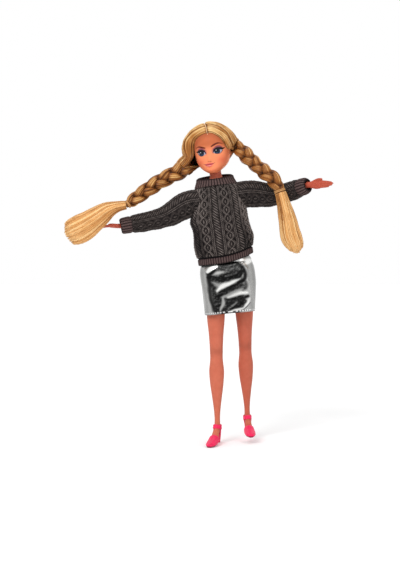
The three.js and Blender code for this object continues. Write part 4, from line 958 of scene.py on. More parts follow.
def make_tail(name):
    """A core with loose strands all round it."""
    plan = PLAITS[name]
    rng = np.random.default_rng(plan["seed"])
    curve = Route(plan["tail"])
    share = np.linspace(0, 1, 26)
    along = np.linspace(0, curve.length, 26)[:, None]
    locks = Locks(TAIL_TONES)
    spin = full_turn(5)
    for _ in range(TAIL_STRANDS):
        angle = rng.uniform(0, TAU)
        ring = rng.uniform(0.88, 1)
        x, y = ring * math.cos(angle), ring * math.sin(angle)
        end = rng.uniform(0.93, 1.02) - 0.07 * x * x - 0.03 * rng.exponential()
        shares = np.clip(share * end, 0, 1)
        wide, thick = spline(plan["tail_sizes"], shares).T
        _, across, deep = curve.frames(shares)
        sway = 0.35 * np.sin(shares * rng.uniform(2, 5) + rng.uniform(0, TAU)) * smoothstep(shares, 0.1, 0.5)
        stray = rng.normal(0, 0.4) * smoothstep(shares, 0.55, 1)
        centre = curve.at(shares) + across * (x * wide + sway + stray)[:, None]
        centre = centre + deep * (y * thick + 0.4 * sway)[:, None]
        half = rng.uniform(0.26, 0.42) * (1 - 0.7 * smoothstep(share, 0.75, 1))[:, None]
        x_way, y_way = LOOSE_WIDE * half * np.cos(spin), LOOSE_THICK * half * np.sin(spin)
        rings = rings_round(centre, across, deep, x_way, y_way)
        # Tone of each strand: its lock's colour, painted shade on one side next to the band, and lighter towards
        # the ends
        lock = 0.2 * ripple(np.array(x / 2 + 0.5), plan["seed"] + 9, 8, 16, False)
        underside_shade = smoothstep(x * SIGNS[name], -0.1, 0.8) * (1 - smoothstep(shares, 0.1, 0.7))
        tone = np.clip(0.62 + lock + rng.normal(0, 0.07), 0.1, 1) - 0.4 * underside_shade
        tone = tone + 0.2 * smoothstep(shares, 0.7, 1)
        aside = 9 * x + 2 * y
        locks.add(rings, tone[:, None], (aside, 0, along), aside)
    core = CORE_SHARE * share
    wide, thick = table_columns(plan["tail_sizes"], core)
    turn = full_turn(60)
    _, across, deep = curve.frames(core)
    groove = 0.96 + 0.02 * ripple(turn / TAU + 0.02 * np.sin(7 * share[:, None]), plan["seed"], 9, 18)
    slim = groove * (1 - 0.5 * smoothstep(share, 0.9, 1)[:, None])
    x, y = slim * wide * np.cos(turn), slim * thick * np.sin(turn)
    rings = rings_round(curve.at(core), across, deep, x, y)
    # The core's tone has painted shade next to the band
    lock = 0.2 * ripple(np.cos(turn) / 2 + 0.5, plan["seed"] + 9, 8, 16, False)
    tone = 0.6 + lock - 0.3 * (1 - smoothstep(share, 0, 0.3))[:, None]
    locks.add(rings, tone, (CORE_FIBRE, 0, along), CORE_FIBRE)
    locks.make(f"loose_{name}", f"tail_{name}")


# Knitwear
# Yarn tones from painted shade over the yarn's own colour to painted highlight
YARN_SHADE_TONES = linear([(13, 11, 12), (73, 66, 64), (162, 152, 147)])
RIB_SHADE_TONES = linear([(9, 5, 7), (52, 39, 40), (106, 88, 86)])
COLUMN_PITCH = 20.6
DIAMOND_PLACE = -15.3
CABLE_PLACE = -4.9
DIAMOND_TALL = 7.7
DIAMOND_HALF = 2.7
STITCH_PITCH = 2.5
KNIT_SINK = 0.25


def wrapped(value, period):
    """How far a value is from the nearest repeat."""
    return (value + period / 2) % period - period / 2


def ridge(away, half):
    """A smooth hump of the given half width."""
    return np.exp(-((away / half) ** 2))


def knit_relief(across, along, diamonds=1.0):
    """Height of the knitting: columns of diamonds and of slanted stitches with ribs between them."""
    d = wrapped(across - DIAMOND_PLACE, COLUMN_PITCH)
    c = wrapped(across - CABLE_PLACE, COLUMN_PITCH)
    swing = np.abs(np.sin(math.pi * along / DIAMOND_TALL))
    rope = 0.7 + 0.3 * np.cos(TAU * (along + 0.6 * np.abs(d)) / 1.15)
    diamond = 0.95 * diamonds * ridge(np.abs(d) - DIAMOND_HALF * swing, 0.46) * rope
    twin = 0.5 * diamonds * ridge(np.abs(d) - DIAMOND_HALF * swing - 1.15, 0.4)
    seed = 0.6 * ridge(d, 0.62) * ridge(swing - 1, 0.22)
    slant = 0.5 + 0.5 * np.cos(TAU * (along + 0.85 * c) / STITCH_PITCH)
    chain = 0.62 * slant * np.clip(1 - (c / 2.7) ** 2, 0, 1) ** 0.4
    edge = 0.75 * ridge(np.abs(c) - 3.95, 0.42) * (0.75 + 0.25 * np.cos(TAU * along / 1.1))
    rib = 0.7 * ridge(np.abs(d) - 5.0, 0.42) * (0.75 + 0.25 * np.cos(TAU * along / 1.1 + 2))
    purl = 0.2 * np.cos(TAU * across / 1.9) * np.cos(TAU * along / 1.7)
    worn = 0.1 * np.sin(across * 0.9 + 2 * np.sin(along * 0.21)) * np.sin(along * 0.7 + across * 0.3)
    return diamond + twin + seed + chain + edge + rib + purl + worn


def rib_relief(across, pitch=2.3):
    return 0.6 * np.abs(np.cos(math.pi * across / pitch)) ** 0.8


def knit_shade_paint(relief, low=-0.12, high=0.85, tones=YARN_SHADE_TONES):
    """Painted shade in the hollows of the knit and painted highlight on its ridges."""
    return toned((relief - low) / (high - low), tones)


def make_knit(name, body, placed, rings, relief, wall, node, paint):
    """A cloth wall whose painted outer side carries the relief; its inner side is painted darker, as shade."""
    ways = ring_normals(rings)
    outer = rings + ways * (relief - KNIT_SINK)[..., None]
    inner = rings[::-1] - ways[::-1] * wall
    points, faces = loft(np.concatenate([outer, inner]), True)
    inner_shade_paint = 0.5 * knit_shade_paint(relief[::-1] * 0.3)
    paint = np.concatenate([paint, inner_shade_paint]).reshape(-1, 3)
    return make_piece(name, body, placed(points), faces, KNIT, "knit", [node], paint=paint)


def quarter_ring(turn, minus, plus, front, back):
    """An oval with its own reach on each of four sides; turn 0 faces forward and grows to the left."""
    side, deep = np.sin(turn), -np.cos(turn)
    return side * np.where(side > 0, plus, minus), deep * np.where(deep > 0, back, front)


HEM_BASE = 11.6
HEM_TOP = 17.6
SWEATER_TOP = 81.4
SWEATER_HALF = 27
SWEATER_DEPTH = 17.5
# Share of the height, and shares to the right, to the left, in front and at the back
SWEATER_SHARES = [
    (0, 0.965, 0.9, 0.97, 0.97), (0.16, 1.02, 0.97, 0.98, 0.96), (0.31, 1, 0.91, 0.98, 0.93),
    (0.42, 1, 0.88, 1, 0.93), (0.53, 1.06, 0.87, 1.03, 0.94), (0.62, 1, 0.87, 1.04, 0.94),
    (0.74, 0.89, 0.87, 1, 0.95), (0.84, 0.87, 0.86, 0.92, 0.92), (0.91, 0.83, 0.83, 0.84, 0.86),
    (0.96, 0.78, 0.78, 0.78, 0.81), (1, 0.69, 0.69, 0.72, 0.76),
]
# The hem is lowest a little to the right, and rises to both sides
HEM_LIFT = {"right": 0.9, "left": 7.2}
HEM_LOWEST = -6
KNIT_WALL = 1.5


def arc_places(count, half, depth):
    """Turns round an oval and their distance along it from the front."""
    turn = full_turn(count, -math.pi)
    fine = np.linspace(-math.pi, math.pi, 4001)
    length = np.cumsum(np.hypot(half * np.cos(fine), depth * np.sin(fine)) * (fine[1] - fine[0]))
    return turn, np.interp(turn, fine, length - np.interp(0, fine, length))


def lifted(side, rise):
    """Heights on the sweater, raised towards both sides as the hem is, and less so further up."""
    right, left = (
        HEM_LIFT[name] * ((side - HEM_LOWEST) / (SWEATER_HALF - sign * HEM_LOWEST)) ** 2
        for name, sign in SIGNS.items()
    )
    fade = np.clip((SWEATER_TOP - rise) / (SWEATER_TOP - HEM_TOP), 0, 1)
    return rise + fade * np.where(side > HEM_LOWEST, left, right)


def sweater_rings(rises, turn):
    minus, plus, front, back = table_columns(SWEATER_SHARES, (rises - HEM_TOP) / (SWEATER_TOP - HEM_TOP))
    side, deep = quarter_ring(turn, minus * SWEATER_HALF, plus * SWEATER_HALF,
                              front * SWEATER_DEPTH, back * SWEATER_DEPTH)
    return np.stack([side, deep, lifted(side, rises[:, None])], -1)


def make_sweater():
    """The knitted body, its ribbed hem and its collar."""
    turn, arc = arc_places(640, SWEATER_HALF * 0.95, SWEATER_DEPTH)
    rises = np.linspace(HEM_TOP - 0.2, SWEATER_TOP + 0.8, 330)
    up = rises[:, None]
    tuck = smoothstep(up, HEM_TOP + 1.6, HEM_TOP)
    relief = knit_relief(arc, up) * (1 - tuck) - 0.7 * tuck
    relief = relief + 0.3 * np.sin(arc / 6.2 + up / 14) * smoothstep(np.abs(arc), 12, 26)
    make_knit("knit_body", "torso", on_trunk, sweater_rings(rises, turn), relief, KNIT_WALL,
              "sweater_body", knit_shade_paint(relief))

    rises = np.linspace(HEM_BASE, HEM_TOP - 0.1, 26)
    from_middle = (rises[:, None] - HEM_BASE) / (HEM_TOP - HEM_BASE) * 2 - 1
    round_off = np.sqrt(np.clip(1 - from_middle ** 6, 0, 1))
    relief = (rib_relief(arc) + 0.5) * round_off - 0.7
    make_knit("knit_hem", "torso", on_trunk, sweater_rings(rises, turn), relief, KNIT_WALL,
              "sweater_hem", knit_shade_paint(relief, -0.4, 0.45, RIB_SHADE_TONES))
    make_collar()


COLLAR_HEIGHT = 7.9
COLLAR_HALF = 18.8
COLLAR_SIDE = -1.1
COLLAR_DEPTH = 14
COLLAR_WALL = 2
COLLAR_SLANT = math.radians(13)
# Share of the height, of the half width and of the half depth
COLLAR_SHARES = [(0, 1.01, 1.02), (0.12, 1.0, 1.02), (0.35, 0.96, 0.98), (0.7, 0.9, 0.93), (1, 0.88, 0.92)]


def make_collar():
    """A ribbed tube that stands up and is higher at the back."""
    turn, arc = arc_places(460, COLLAR_HALF * 0.85, COLLAR_DEPTH * 0.9)
    share = np.linspace(-0.06, 1, 34)
    half, depth = table_columns(COLLAR_SHARES, share)
    up = share[:, None]

    def rings(spare):
        wide, long = half * COLLAR_HALF + spare, depth * COLLAR_DEPTH + spare
        side, deep = quarter_ring(turn, wide, wide, long, long)
        rise = SWEATER_TOP + 0.3 + up * (COLLAR_HEIGHT + deep * math.tan(COLLAR_SLANT))
        return np.stack([side + COLLAR_SIDE, deep, rise], -1)

    round_off = np.sqrt(1 - np.clip(up, 0, 1) ** 9)
    relief = rib_relief(arc) * (0.4 + 0.6 * round_off) - 0.2
    outer, inner = rings(0), rings(-COLLAR_WALL)
    outer = outer + ring_normals(outer) * relief[..., None]
    inner = inner - ring_normals(inner) * relief[..., None] * 0.6
    rim = (outer[-1:] + inner[-1:]) / 2 + (0, 0, 0.7)
    points, faces = loft(np.concatenate([outer, rim, inner[::-1]]), True)
    front_paint = knit_shade_paint(relief, -0.3, 0.36, RIB_SHADE_TONES)
    # The collar's inside is painted darker, as shade
    paint = np.concatenate([front_paint, front_paint[-1:], front_paint[::-1] * 0.55]).reshape(-1, 3)
    make_piece("knit_collar", "torso", on_trunk(points), faces, KNIT, "knit", ["sweater_collar"],
               paint=paint)


# Arms
SHOULDER_SIDE = 20.5
SHOULDER_RISE = 71.6
ARM_ROOT = 5.2
UPPER_ARM = 30
FORE_ARM = 40
ARM_HALF = 5
# Share of the length and of the half thickness
ARM_SHARES = [
    (0, 0.7), (0.05, 0.95), (0.2, 1), (0.4, 0.86), (0.5, 0.84), (0.65, 0.78), (0.85, 0.56), (1, 0.48),
]
# In degrees: how far the arm drops and points forward, and how elbow, wrist and palm turn from there
ARM_ANGLES = {
    "right": dict(drop=20, forward=0, bend_forward=6, bend_up=14, hand_drop=-12, roll=0),
    "left": dict(drop=7.4, forward=16, bend_forward=27, bend_up=9, hand_drop=9.5, roll=74),
}
SLEEVE_ROOT = 20.8
SLEEVE_HALF = 12
SLEEVE_WALL = 1.5
SLEEVE_SHARES = [
    (-0.06, 0.99), (0, 0.99), (0.08, 1), (0.2, 0.98), (0.36, 0.9), (0.52, 0.78), (0.7, 0.72), (0.88, 0.68),
    (0.97, 0.63), (1, 0.55),
]
SLEEVE_INSIDE = 3.5
SLEEVE_STRAIGHT = 4
SLEEVE_COLUMNS = 3
SLEEVE_PATTERN_SHIFT = 4.6
SLEEVE_FOLD_PITCH = 13
SLEEVE_FOLD_DEPTH = 0.4
# How far the sleeve hangs at its root and at the elbow
SLEEVE_SAG = {"right": (2.4, 0.4), "left": (0.6, 1.6)}
CUFF_OVERLAP = {"right": 2.4, "left": -1.2}
CUFF_ENDS = {"right": 0.9, "left": 0.74}
CUFF_LENGTH = 8.9
CUFF_HALF = 7.1
CUFF_WALL = 1.4
CUFF_RIBS_ROUND = 18


def aim(sign, forward, drop):
    """The way of an arm that points aside, turned forward and down by degrees."""
    forward, drop = math.radians(forward), math.radians(drop)
    return np.array((
        sign * math.cos(forward) * math.cos(drop), -math.sin(forward) * math.cos(drop), -math.sin(drop),
    ))


def on_shoulder(name, places):
    return on_trunk(np.asarray(places) + (SIGNS[name] * SHOULDER_SIDE, 0, SHOULDER_RISE))


def tube(route, shares, wide, thick, sides, squareness=1.0):
    """Rings along a route, from their half sizes across it and in depth."""
    turn = full_turn(sides)
    cos, sin = (np.sign(value) * np.abs(value) ** squareness for value in (np.cos(turn), np.sin(turn)))
    _, across, deep = route.frames(shares)
    return rings_round(route.at(shares), across, deep, wide[:, None] * cos, thick[:, None] * sin)


# Fingers: place across the palm, length, half-width, how far apart they point
FINGERS = [(-2.7, 8.8, 1.0, 5), (-0.94, 11.8, 1.1, 2), (0.94, 12.8, 1.12, 0), (2.7, 11.4, 1.05, -4)]
PALM = [(-0.28, 2.4, 2.1), (0, 2.5, 2.1), (0.3, 3.3, 2.1), (0.65, 4.0, 1.8), (1, 3.8, 1.35)]
PALM_LENGTH = 11.5
PALM_ROOT = 4
FINGER_ROOT = 2.2
FINGER_SHARES = [(0, 0.95), (0.4, 1), (0.75, 0.88), (0.93, 0.66), (1, 0.3)]
THUMB_SHARES = [(0, 1.15), (0.4, 1), (0.75, 0.9), (0.93, 0.66), (1, 0.3)]
THUMB_HALF = 1.35
# From the wrist to the thumb's root, bend and tip: ahead, aside and in depth
THUMB_STEPS = [(3.2, 1.9, 0), (4.8, 1.9, -0.7), (5.6, 0.5, -0.3)]


def finger(stops, deep, half, shares):
    """A finger through its root, bend and tip."""
    along = np.linspace(0, 1, 14)
    size = half * spline(shares, along)[:, 0]
    return loft(tube(Route(stops, deep), along, size, size, 14))


def hand_parts(wrist, way, across):
    """A palm, four fingers and a thumb."""
    deep = np.cross(across, way)
    share = np.linspace(-0.28, 1, 22)
    wide, thick = spline(PALM, share).T
    palm = Route([wrist - way * PALM_ROOT, wrist, wrist + way * PALM_LENGTH], deep)
    places = np.clip((share * PALM_LENGTH + PALM_ROOT) / palm.length, 0, 1)
    parts = [loft(tube(palm, places, wide, thick, 24, 0.85))]
    for place, length, half, spread in FINGERS:
        lean = math.radians(spread)
        ahead = unit(way * math.cos(lean) + across * math.sin(lean))
        start = wrist + way * (PALM_LENGTH - FINGER_ROOT) + across * place
        middle = start + ahead * length * 0.55
        tip = start + ahead * (length + FINGER_ROOT) + deep
        parts.append(finger([start, middle, tip], deep, half, FINGER_SHARES))
    stops = wrist + np.cumsum(np.array(THUMB_STEPS) @ np.array([way, across, deep]), axis=0)
    return parts + [finger(stops, deep, THUMB_HALF, THUMB_SHARES)]


def make_arm(name):
    """An arm and its hand in one skin, and the sleeve over them."""
    sign, pose = SIGNS[name], ARM_ANGLES[name]
    ahead, drop = pose["forward"] + pose["bend_forward"], pose["drop"] - pose["bend_up"]
    elbow = aim(sign, pose["forward"], pose["drop"]) * UPPER_ARM
    wrist = elbow + aim(sign, ahead, drop) * FORE_ARM
    hand = aim(sign, ahead, drop + pose["hand_drop"])
    curve = Route([aim(sign, 0, pose["drop"]) * ARM_ROOT, elbow, wrist])
    share = np.linspace(0, 1, 60)
    half = ARM_HALF * spline(ARM_SHARES, share)[:, 0]
    flat = unit(np.cross((0, 0, 1), hand))
    roll = math.radians(pose["roll"])
    across = flat * math.cos(roll) + np.cross(hand, flat) * math.sin(roll)
    parts = [loft(tube(curve, share, half, half, 32)), *hand_parts(wrist, hand, across)]
    points, faces = fused(f"arm_{name}", [(on_shoulder(name, p), f) for p, f in parts], 0.3, 4)
    # The arm and hand are painted in a darker skin tone, as shade
    make_piece(f"arm_skin_{name}", f"arm_{name}", points, faces, SKIN, "skin", [f"arm_{name}"],
               paint=np.tile(ARM_SHADE_TONE, (len(points), 1)))
    make_sleeve(name, sign, elbow, wrist)


def make_sleeve(name, sign, elbow, wrist):
    """The knitted sleeve and its ribbed cuff."""
    root_sag, elbow_sag = SLEEVE_SAG[name]
    start = np.array((sign * (SLEEVE_ROOT - SHOULDER_SIDE), 0, -root_sag))
    inward = start - np.array((sign * SLEEVE_INSIDE, 0, 0))
    straight = start + np.array((sign * SLEEVE_STRAIGHT, 0, 0))
    wrist = wrist + unit(wrist - elbow) * CUFF_OVERLAP[name]
    curve = Route([inward, start, straight, elbow - (0, 0, elbow_sag), wrist])
    begin = SLEEVE_INSIDE / curve.length
    cuff = 1 - CUFF_LENGTH / curve.length

    def placed(points):
        return on_shoulder(name, points)

    def rings(share, half, turn):
        _, across, deep = curve.frames(share)
        across = across * np.sign(across[:, 2:3])
        return rings_round(curve.at(share), -deep, across, half * np.cos(turn), half * np.sin(turn))

    share = np.linspace(0, cuff + 0.004, 250)
    local = (share - begin) / (cuff - begin)
    turn = full_turn(330, -math.pi)
    half = SLEEVE_HALF * spline(SLEEVE_SHARES, local)
    along = share[:, None] * curve.length
    local = local[:, None]
    around = turn / TAU * COLUMN_PITCH * SLEEVE_COLUMNS + DIAMOND_PLACE + SLEEVE_PATTERN_SHIFT
    relief = 0.85 * knit_relief(around, along, 0.6) * smoothstep(local, 1, 0.96)
    fold = SLEEVE_FOLD_DEPTH * np.sin(TAU * along / SLEEVE_FOLD_PITCH + 1.2 * np.cos(turn))
    fold = fold * (0.5 - 0.5 * np.sin(turn)) * smoothstep(local, 0.05, 0.3) * smoothstep(local, 1, 0.85)
    piece = make_knit(f"knit_sleeve_{name}", None, placed, rings(share, half, turn),
                      relief + fold * 0.6, SLEEVE_WALL, f"sleeve_{name}", knit_shade_paint(relief))
    tuple(on_shoulder(name, (sign * 0.5, 0, 0)))
    tuple(on_shoulder(name, (sign * 13, 0, 0)))
    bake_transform(piece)

    share = np.linspace(cuff - 0.02, 1, 34)
    local = np.linspace(0, 1, 34)
    turn = full_turn(264, -math.pi)
    end = CUFF_ENDS[name]
    half = CUFF_HALF * spline([(0, 0.9), (0.15, 1), (0.5, 1.01), (0.8, 0.7 + 0.3 * end), (1, end)], local)
    relief = rib_relief(turn / TAU * CUFF_RIBS_ROUND, 1) * smoothstep(local, 1, 0.9)[:, None]
    make_knit(f"knit_cuff_{name}", f"arm_{name}", placed, rings(share, half, turn), relief,
              CUFF_WALL, f"cuff_{name}", knit_shade_paint(relief, -0.15, 0.62, RIB_SHADE_TONES))


# Skirt
SKIRT_TOP = 19
SKIRT_LENGTH = 52
SKIRT_HALF = 24.9
SKIRT_DEPTH = 17
SKIRT_WALL = 0.9
SKIRT_SHIFT = 4.1
SKIRT_SLANT = math.radians(2.6)
# Share of the way down, of the half width and of the shift aside, of front and back, and squareness
SKIRT_SHARES = [
    (0, 0.75, 0, 0.76, 0.78, 2), (0.1, 0.91, 0.25, 0.865, 0.865, 2), (0.135, 0.915, 0.25, 0.87, 0.87, 2),
    (0.18, 0.95, 0.3, 0.94, 0.96, 2.2), (0.23, 0.975, 0.3, 0.98, 1, 2.3),
    (0.45, 0.98, 0.36, 0.96, 1.08, 2.6), (0.72, 0.96, 0.55, 0.92, 1.2, 3),
    (1, 0.92, 0.92, 0.88, 1.3, 3.2),
]
# Painted reflection in the foil, as bands of light and dark: tone, softness, then rows of side, rise and
# half-width
FOIL_REFLECTION_BANDS = [
    (44, 1.2, [(-7, 6, 6), (-3.5, 0, 13), (-3, -10, 13.4), (-3, -22, 13), (-4, -27, 9)]),
    (28, 1.2, [(-17, 4, 3.2), (-17.5, -8, 3.2), (-17, -20, 3.4), (-15, -28, 4)]),
    (70, 1.5, [(-18, -8, 0.8), (-17.5, -16, 1.2), (-16, -24, 0.8)]),
    (52, 1.5, [(-6, 7, 3), (2, 6, 5), (9, 5, 4.5)]),
    (92, 2.0, [(-3, 5.5, 1.2), (2, 6.5, 1.4), (6, 7, 1)]),
    (245, 0.6, [(-19, 6, 1.2), (-16, 8.5, 2), (-11, 10.5, 1.4)]),
    (245, 0.8, [(12, 12, 1.5), (16, 10.5, 2.6), (20, 11, 1.8)]),
    (20, 0.7, [(-19.5, 1, 0.8), (-17.5, 4.4, 0.8), (-12, 7, 0.9), (-8, 9.6, 0.9), (-2, 10.6, 0.9),
               (7, 11, 1)]),
    (190, 1.1, [(-15, 2.8, 0.3), (-10, 3.8, 1.6), (-5, 4, 0.8)]),
    (16, 0.8, [(-19, 0.8, 0.9), (-12, -0.8, 1.4), (-5, -1.8, 1.6), (2, -2.2, 1.8), (8, -0.6, 2.2),
               (12, 4, 1.8)]),
    (18, 0.9, [(8, 10.5, 0.9), (12.4, 6, 1.3), (13.8, 0, 1.3), (12.5, -4.5, 1.6), (9, -6.2, 1.4)]),
    (150, 1.6, [(-16, -4, 0.8), (-11, -6.6, 2.2), (-7, -9, 1.6)]),
    (235, 1.2, [(-12.6, -11.6, 1.3), (-7, -8.2, 2.2), (0, -6.4, 1.9), (6, -4.6, 1), (9, -3.6, 0.3)]),
    (60, 1.5, [(8, -9, 2), (12, -11, 2.4), (13.4, -7, 1)]),
    (18, 0.8, [(-14, -18, 1.8), (-9, -14, 1.5), (-1, -10.2, 1.3), (6, -7.6, 1.3), (11, -5.4, 1.2)]),
    (34, 1.2, [(-15, -22, 2.4), (-13, -27, 1.6)]),
    (150, 1.0, [(-7.5, -18, 1.2), (-1, -16.4, 2.2), (6, -14.4, 1.6), (10, -13, 0.6)]),
    (222, 1.0, [(-4, -18.8, 0.8), (3, -17.2, 1.4), (8.5, -16.4, 1.5), (13, -16.4, 1.2)]),
    (168, 0.9, [(-8.4, -19, 0.9), (-9.4, -24, 1.5), (-12.4, -29.5, 0.8)]),
    (17, 0.8, [(-9, -30, 1.2), (-5, -25.8, 1.3), (1, -22.4, 1.5), (7, -20.4, 1.6), (13.4, -20, 1.4)]),
    (22, 1.0, [(-2, -28.5, 2.2), (4, -26, 2.6), (10, -23.5, 2)]),
    (128, 0.9, [(-1.5, -27, 0.4), (1.5, -25, 0.8), (3.5, -24.4, 0.3)]),
    (120, 0.6, [(-6.5, -30, 0.4), (-2.5, -27.6, 0.6), (0.5, -25.8, 0.2)]),
    (226, 0.8, [(-3, -31.4, 0.7), (4, -30.4, 1), (9, -29.6, 0.6)]),
    (205, 0.9, [(9, -30, 1), (12.4, -26.6, 1.3), (14.6, -22.6, 0.9)]),
    (70, 0.6, [(8, -31.2, 0.4), (12, -28.6, 0.5), (15, -25.6, 0.2)]),
]
FOIL_PLAIN = 158
# Depth, waves round the skirt, slant and place of the soft creases
CREASES = [(0.28, 4, 5, 0), (0.2, 7, -8, 1)]
HEM_STITCH_DROP = 0.972
HEM_STITCHES = 58
# Heights between which the skirt goes over from the torso to the thighs
SKIRT_BEND = (11, -13)
STRIP_WIDTH = 3.4
STRIP_SPAN = (0.3, 0.78)
STRIP_LIFT = 0.6
STRIP_WALL = 0.6


def mottle(across, along, seed, waves=14):
    """A cloudy random pattern of about unit size."""
    rng = np.random.default_rng(seed)
    ways = rng.uniform(0, TAU, waves)
    counts = rng.uniform(0.7, 2.6, waves)
    phases = rng.uniform(0, TAU, waves)
    total = sum(
        np.sin(n * (across * math.cos(way) + along * math.sin(way)) + phase)
        for n, way, phase in zip(counts, ways, phases)
    )
    return total / math.sqrt(waves / 2)


def foil_reflection_paint(side, rise, deep):
    """The foil's painted reflection, the same from the front and, turned round, from the back."""
    seen = np.where(deep < 0.5, side, -side - SKIRT_SHIFT)
    tone = np.full(side.shape, float(FOIL_PLAIN))
    tone += 9 * np.sin(seen * 1.1) * smoothstep(np.abs(seen + 2), 16, 19)
    bent_side = seen + 0.2 * mottle(seen * 0.3, rise * 0.3, 3)
    bent_rise = rise + 0.2 * mottle(seen * 0.3, rise * 0.3, 4)
    for level, soft, line in FOIL_REFLECTION_BANDS:
        cover = stroke(bent_side, bent_rise, line, 1.2 * soft)
        tone = tone * (1 - cover) + level * cover
    grain = mottle(seen * 0.9, rise * 0.9, 7) + 0.8 * mottle(seen * 2.1, rise * 2.1, 8)
    dark = smoothstep(130 - tone, 0, 60) * smoothstep(16 - np.abs(seen + 2), -1, 3)
    tone = np.clip(tone + grain * (0.8 + 14 * dark), 6, 255)
    return linear(np.stack([tone, tone, tone * 0.985], -1))


def make_skirt():
    """A thin tube of foil with a stitched hem."""
    turn = full_turn(420, -math.pi)
    drop = np.linspace(0, 1, 170)[:, None]
    half, shift, front, back, square = table_columns(SKIRT_SHARES, drop[:, 0])

    def blunt(value):
        return np.sign(value) * np.abs(value) ** (2 / square)

    def rings(spare):
        side = blunt(np.sin(turn)) * (SKIRT_HALF * half + spare)
        deep = -np.cos(turn)
        deep = blunt(deep) * (np.where(deep > 0, back, front) * SKIRT_DEPTH + spare)
        rise = SKIRT_TOP - SKIRT_LENGTH * drop - side * (math.tan(SKIRT_SLANT) * shift)
        return np.stack([side - SKIRT_SHIFT * shift, deep, rise], -1)

    outer, inner = rings(0), rings(-SKIRT_WALL)
    crease = sum(
        depth * np.sin(waves * turn + slant * drop + place) for depth, waves, slant, place in CREASES
    )
    crease = crease * smoothstep(drop, 0.2, 0.5)
    stitch = np.exp(-(((drop - HEM_STITCH_DROP) / 0.01) ** 2))
    thread = stitch * (0.5 + 0.5 * np.sign(np.cos(turn * HEM_STITCHES)))
    outer = outer + ring_normals(outer) * (crease - 0.25 * stitch + 0.4 * thread)[..., None]
    points, faces = loft(np.concatenate([outer, inner[::-1]]), True)
    side, deep, rise = outer.reshape(-1, 3).T
    paint = foil_reflection_paint(side, rise, deep).reshape(outer.shape)
    paint = paint * (1 - 0.6 * stitch[..., None]) + 0.8 * thread[..., None]
    paint = np.clip(paint.reshape(-1, 3), 0, 1)
    piece = make_piece("foil_skirt", None, on_trunk(points), faces, FOIL, "foil", ["skirt"],
                       paint=np.vstack([paint, paint * 0 + 0.3]))
    hang_on_hips(piece)
    make_skirt_strip()


def hang_on_hips(piece):
    """Works out the heights where the thighs bend on their bar, and bakes a piece of the skirt in place."""
    start, end = (tuple(on_trunk((0, 0, rise))) for rise in SKIRT_BEND)
    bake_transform(piece)


def make_skirt_strip():
    """The closing strip down the back of the skirt."""
    side = np.linspace(-STRIP_WIDTH / 2, STRIP_WIDTH / 2, 24) - SKIRT_SHIFT / 2
    drop = np.linspace(*STRIP_SPAN, 120)
    half, shift, _, back, square = table_columns(SKIRT_SHARES, drop)
    from_middle = side + SKIRT_SHIFT * shift
    rise = SKIRT_TOP - SKIRT_LENGTH * drop[:, None] - from_middle * math.tan(SKIRT_SLANT) * shift

    def sheet(spare):
        reach = np.abs(from_middle) / (SKIRT_HALF * half + spare)
        deep = (1 - reach ** square) ** (1 / square) * (SKIRT_DEPTH * back + spare)
        return np.stack([side + 0 * deep, deep, rise], -1)

    outer, inner = sheet(STRIP_LIFT + STRIP_WALL), sheet(STRIP_LIFT)
    points, faces = loft(np.concatenate([outer, inner[:, ::-1]], 1))
    piece = make_piece("skirt_strip", None, on_trunk(points), faces, TAPE, "tape", ["skirt_fastening"])
    hang_on_hips(piece)


# Legs
LEG_HALF = 9.6
CALF_HALF = 6.75
KNEE_DROP = 66
ANKLE_DROP = 132
# Share of the way down, and shares of the half size aside, in front and at the back
THIGH_SHARES = [
    (0, 1, 1, 1), (0.15, 0.95, 0.98, 1.04), (0.38, 0.88, 0.93, 0.97), (0.56, 0.83, 0.86, 0.87),
    (0.76, 0.7, 0.74, 0.73), (0.92, 0.63, 0.66, 0.64),
]
SHIN_SHARES = [
    (0, 0.87, 0.92, 0.86), (0.09, 0.845, 0.83, 0.98), (0.27, 1, 0.83, 1.21), (0.44, 0.9, 0.77, 1.08),
    (0.64, 0.64, 0.62, 0.71), (0.82, 0.43, 0.5, 0.53), (0.925, 0.37, 0.49, 0.5), (1.01, 0.4, 0.56, 0.54),
]
# The kneecap and the hollow below it: drop, half-length and depth
KNEE_RELIEF = [(63, 4, 0.4), (70, 3, -0.35)]
KNEE_SHADE = 0.16
HEEL_BACK = 4.6
FOOT_LENGTH = 33.4
FOOT_HALF = 4.1
FOOT_TOP_DROP = 130.6
FOOT_HEIGHT = 16.5
FOOT_SPLAY = {"right": 15, "left": 2}
# Share of the length from the heel, of the half width, and of the drop of top and sole
FOOT_SHARES = [
    (0, 0.25, 0.2, 0.42), (0.05, 0.5, 0.12, 0.48), (0.23, 0.68, 0.03, 0.68), (0.32, 0.72, 0.24, 0.78),
    (0.41, 0.81, 0.45, 0.865), (0.53, 0.92, 0.61, 0.955), (0.68, 1, 0.745, 1), (0.9, 0.86, 0.87, 1),
    (1, 0.35, 0.94, 0.99),
]


SHOE_TONE = linear((248, 40, 96))
SOLE_TONE = linear((150, 22, 56))
SOLE_THICKNESS = (1.7 * MM, 1.1 * MM)
# Height on the trunk and half width
NECK_SIZES = [(80, 9), (84, 7.8), (87.5, 6.2), (91, 5.5), (97, 5.3), (104, 5.8)]


def set_foot(places, name):
    """A foot turned out at the ankle, and level whichever way the leg swings."""
    out = turned(places, 2, math.radians(SIGNS[name] * FOOT_SPLAY[name]))
    return turned(out + (0, 0, ANKLE_DROP), 0, -LEG_SWING[name]) - (0, 0, ANKLE_DROP)


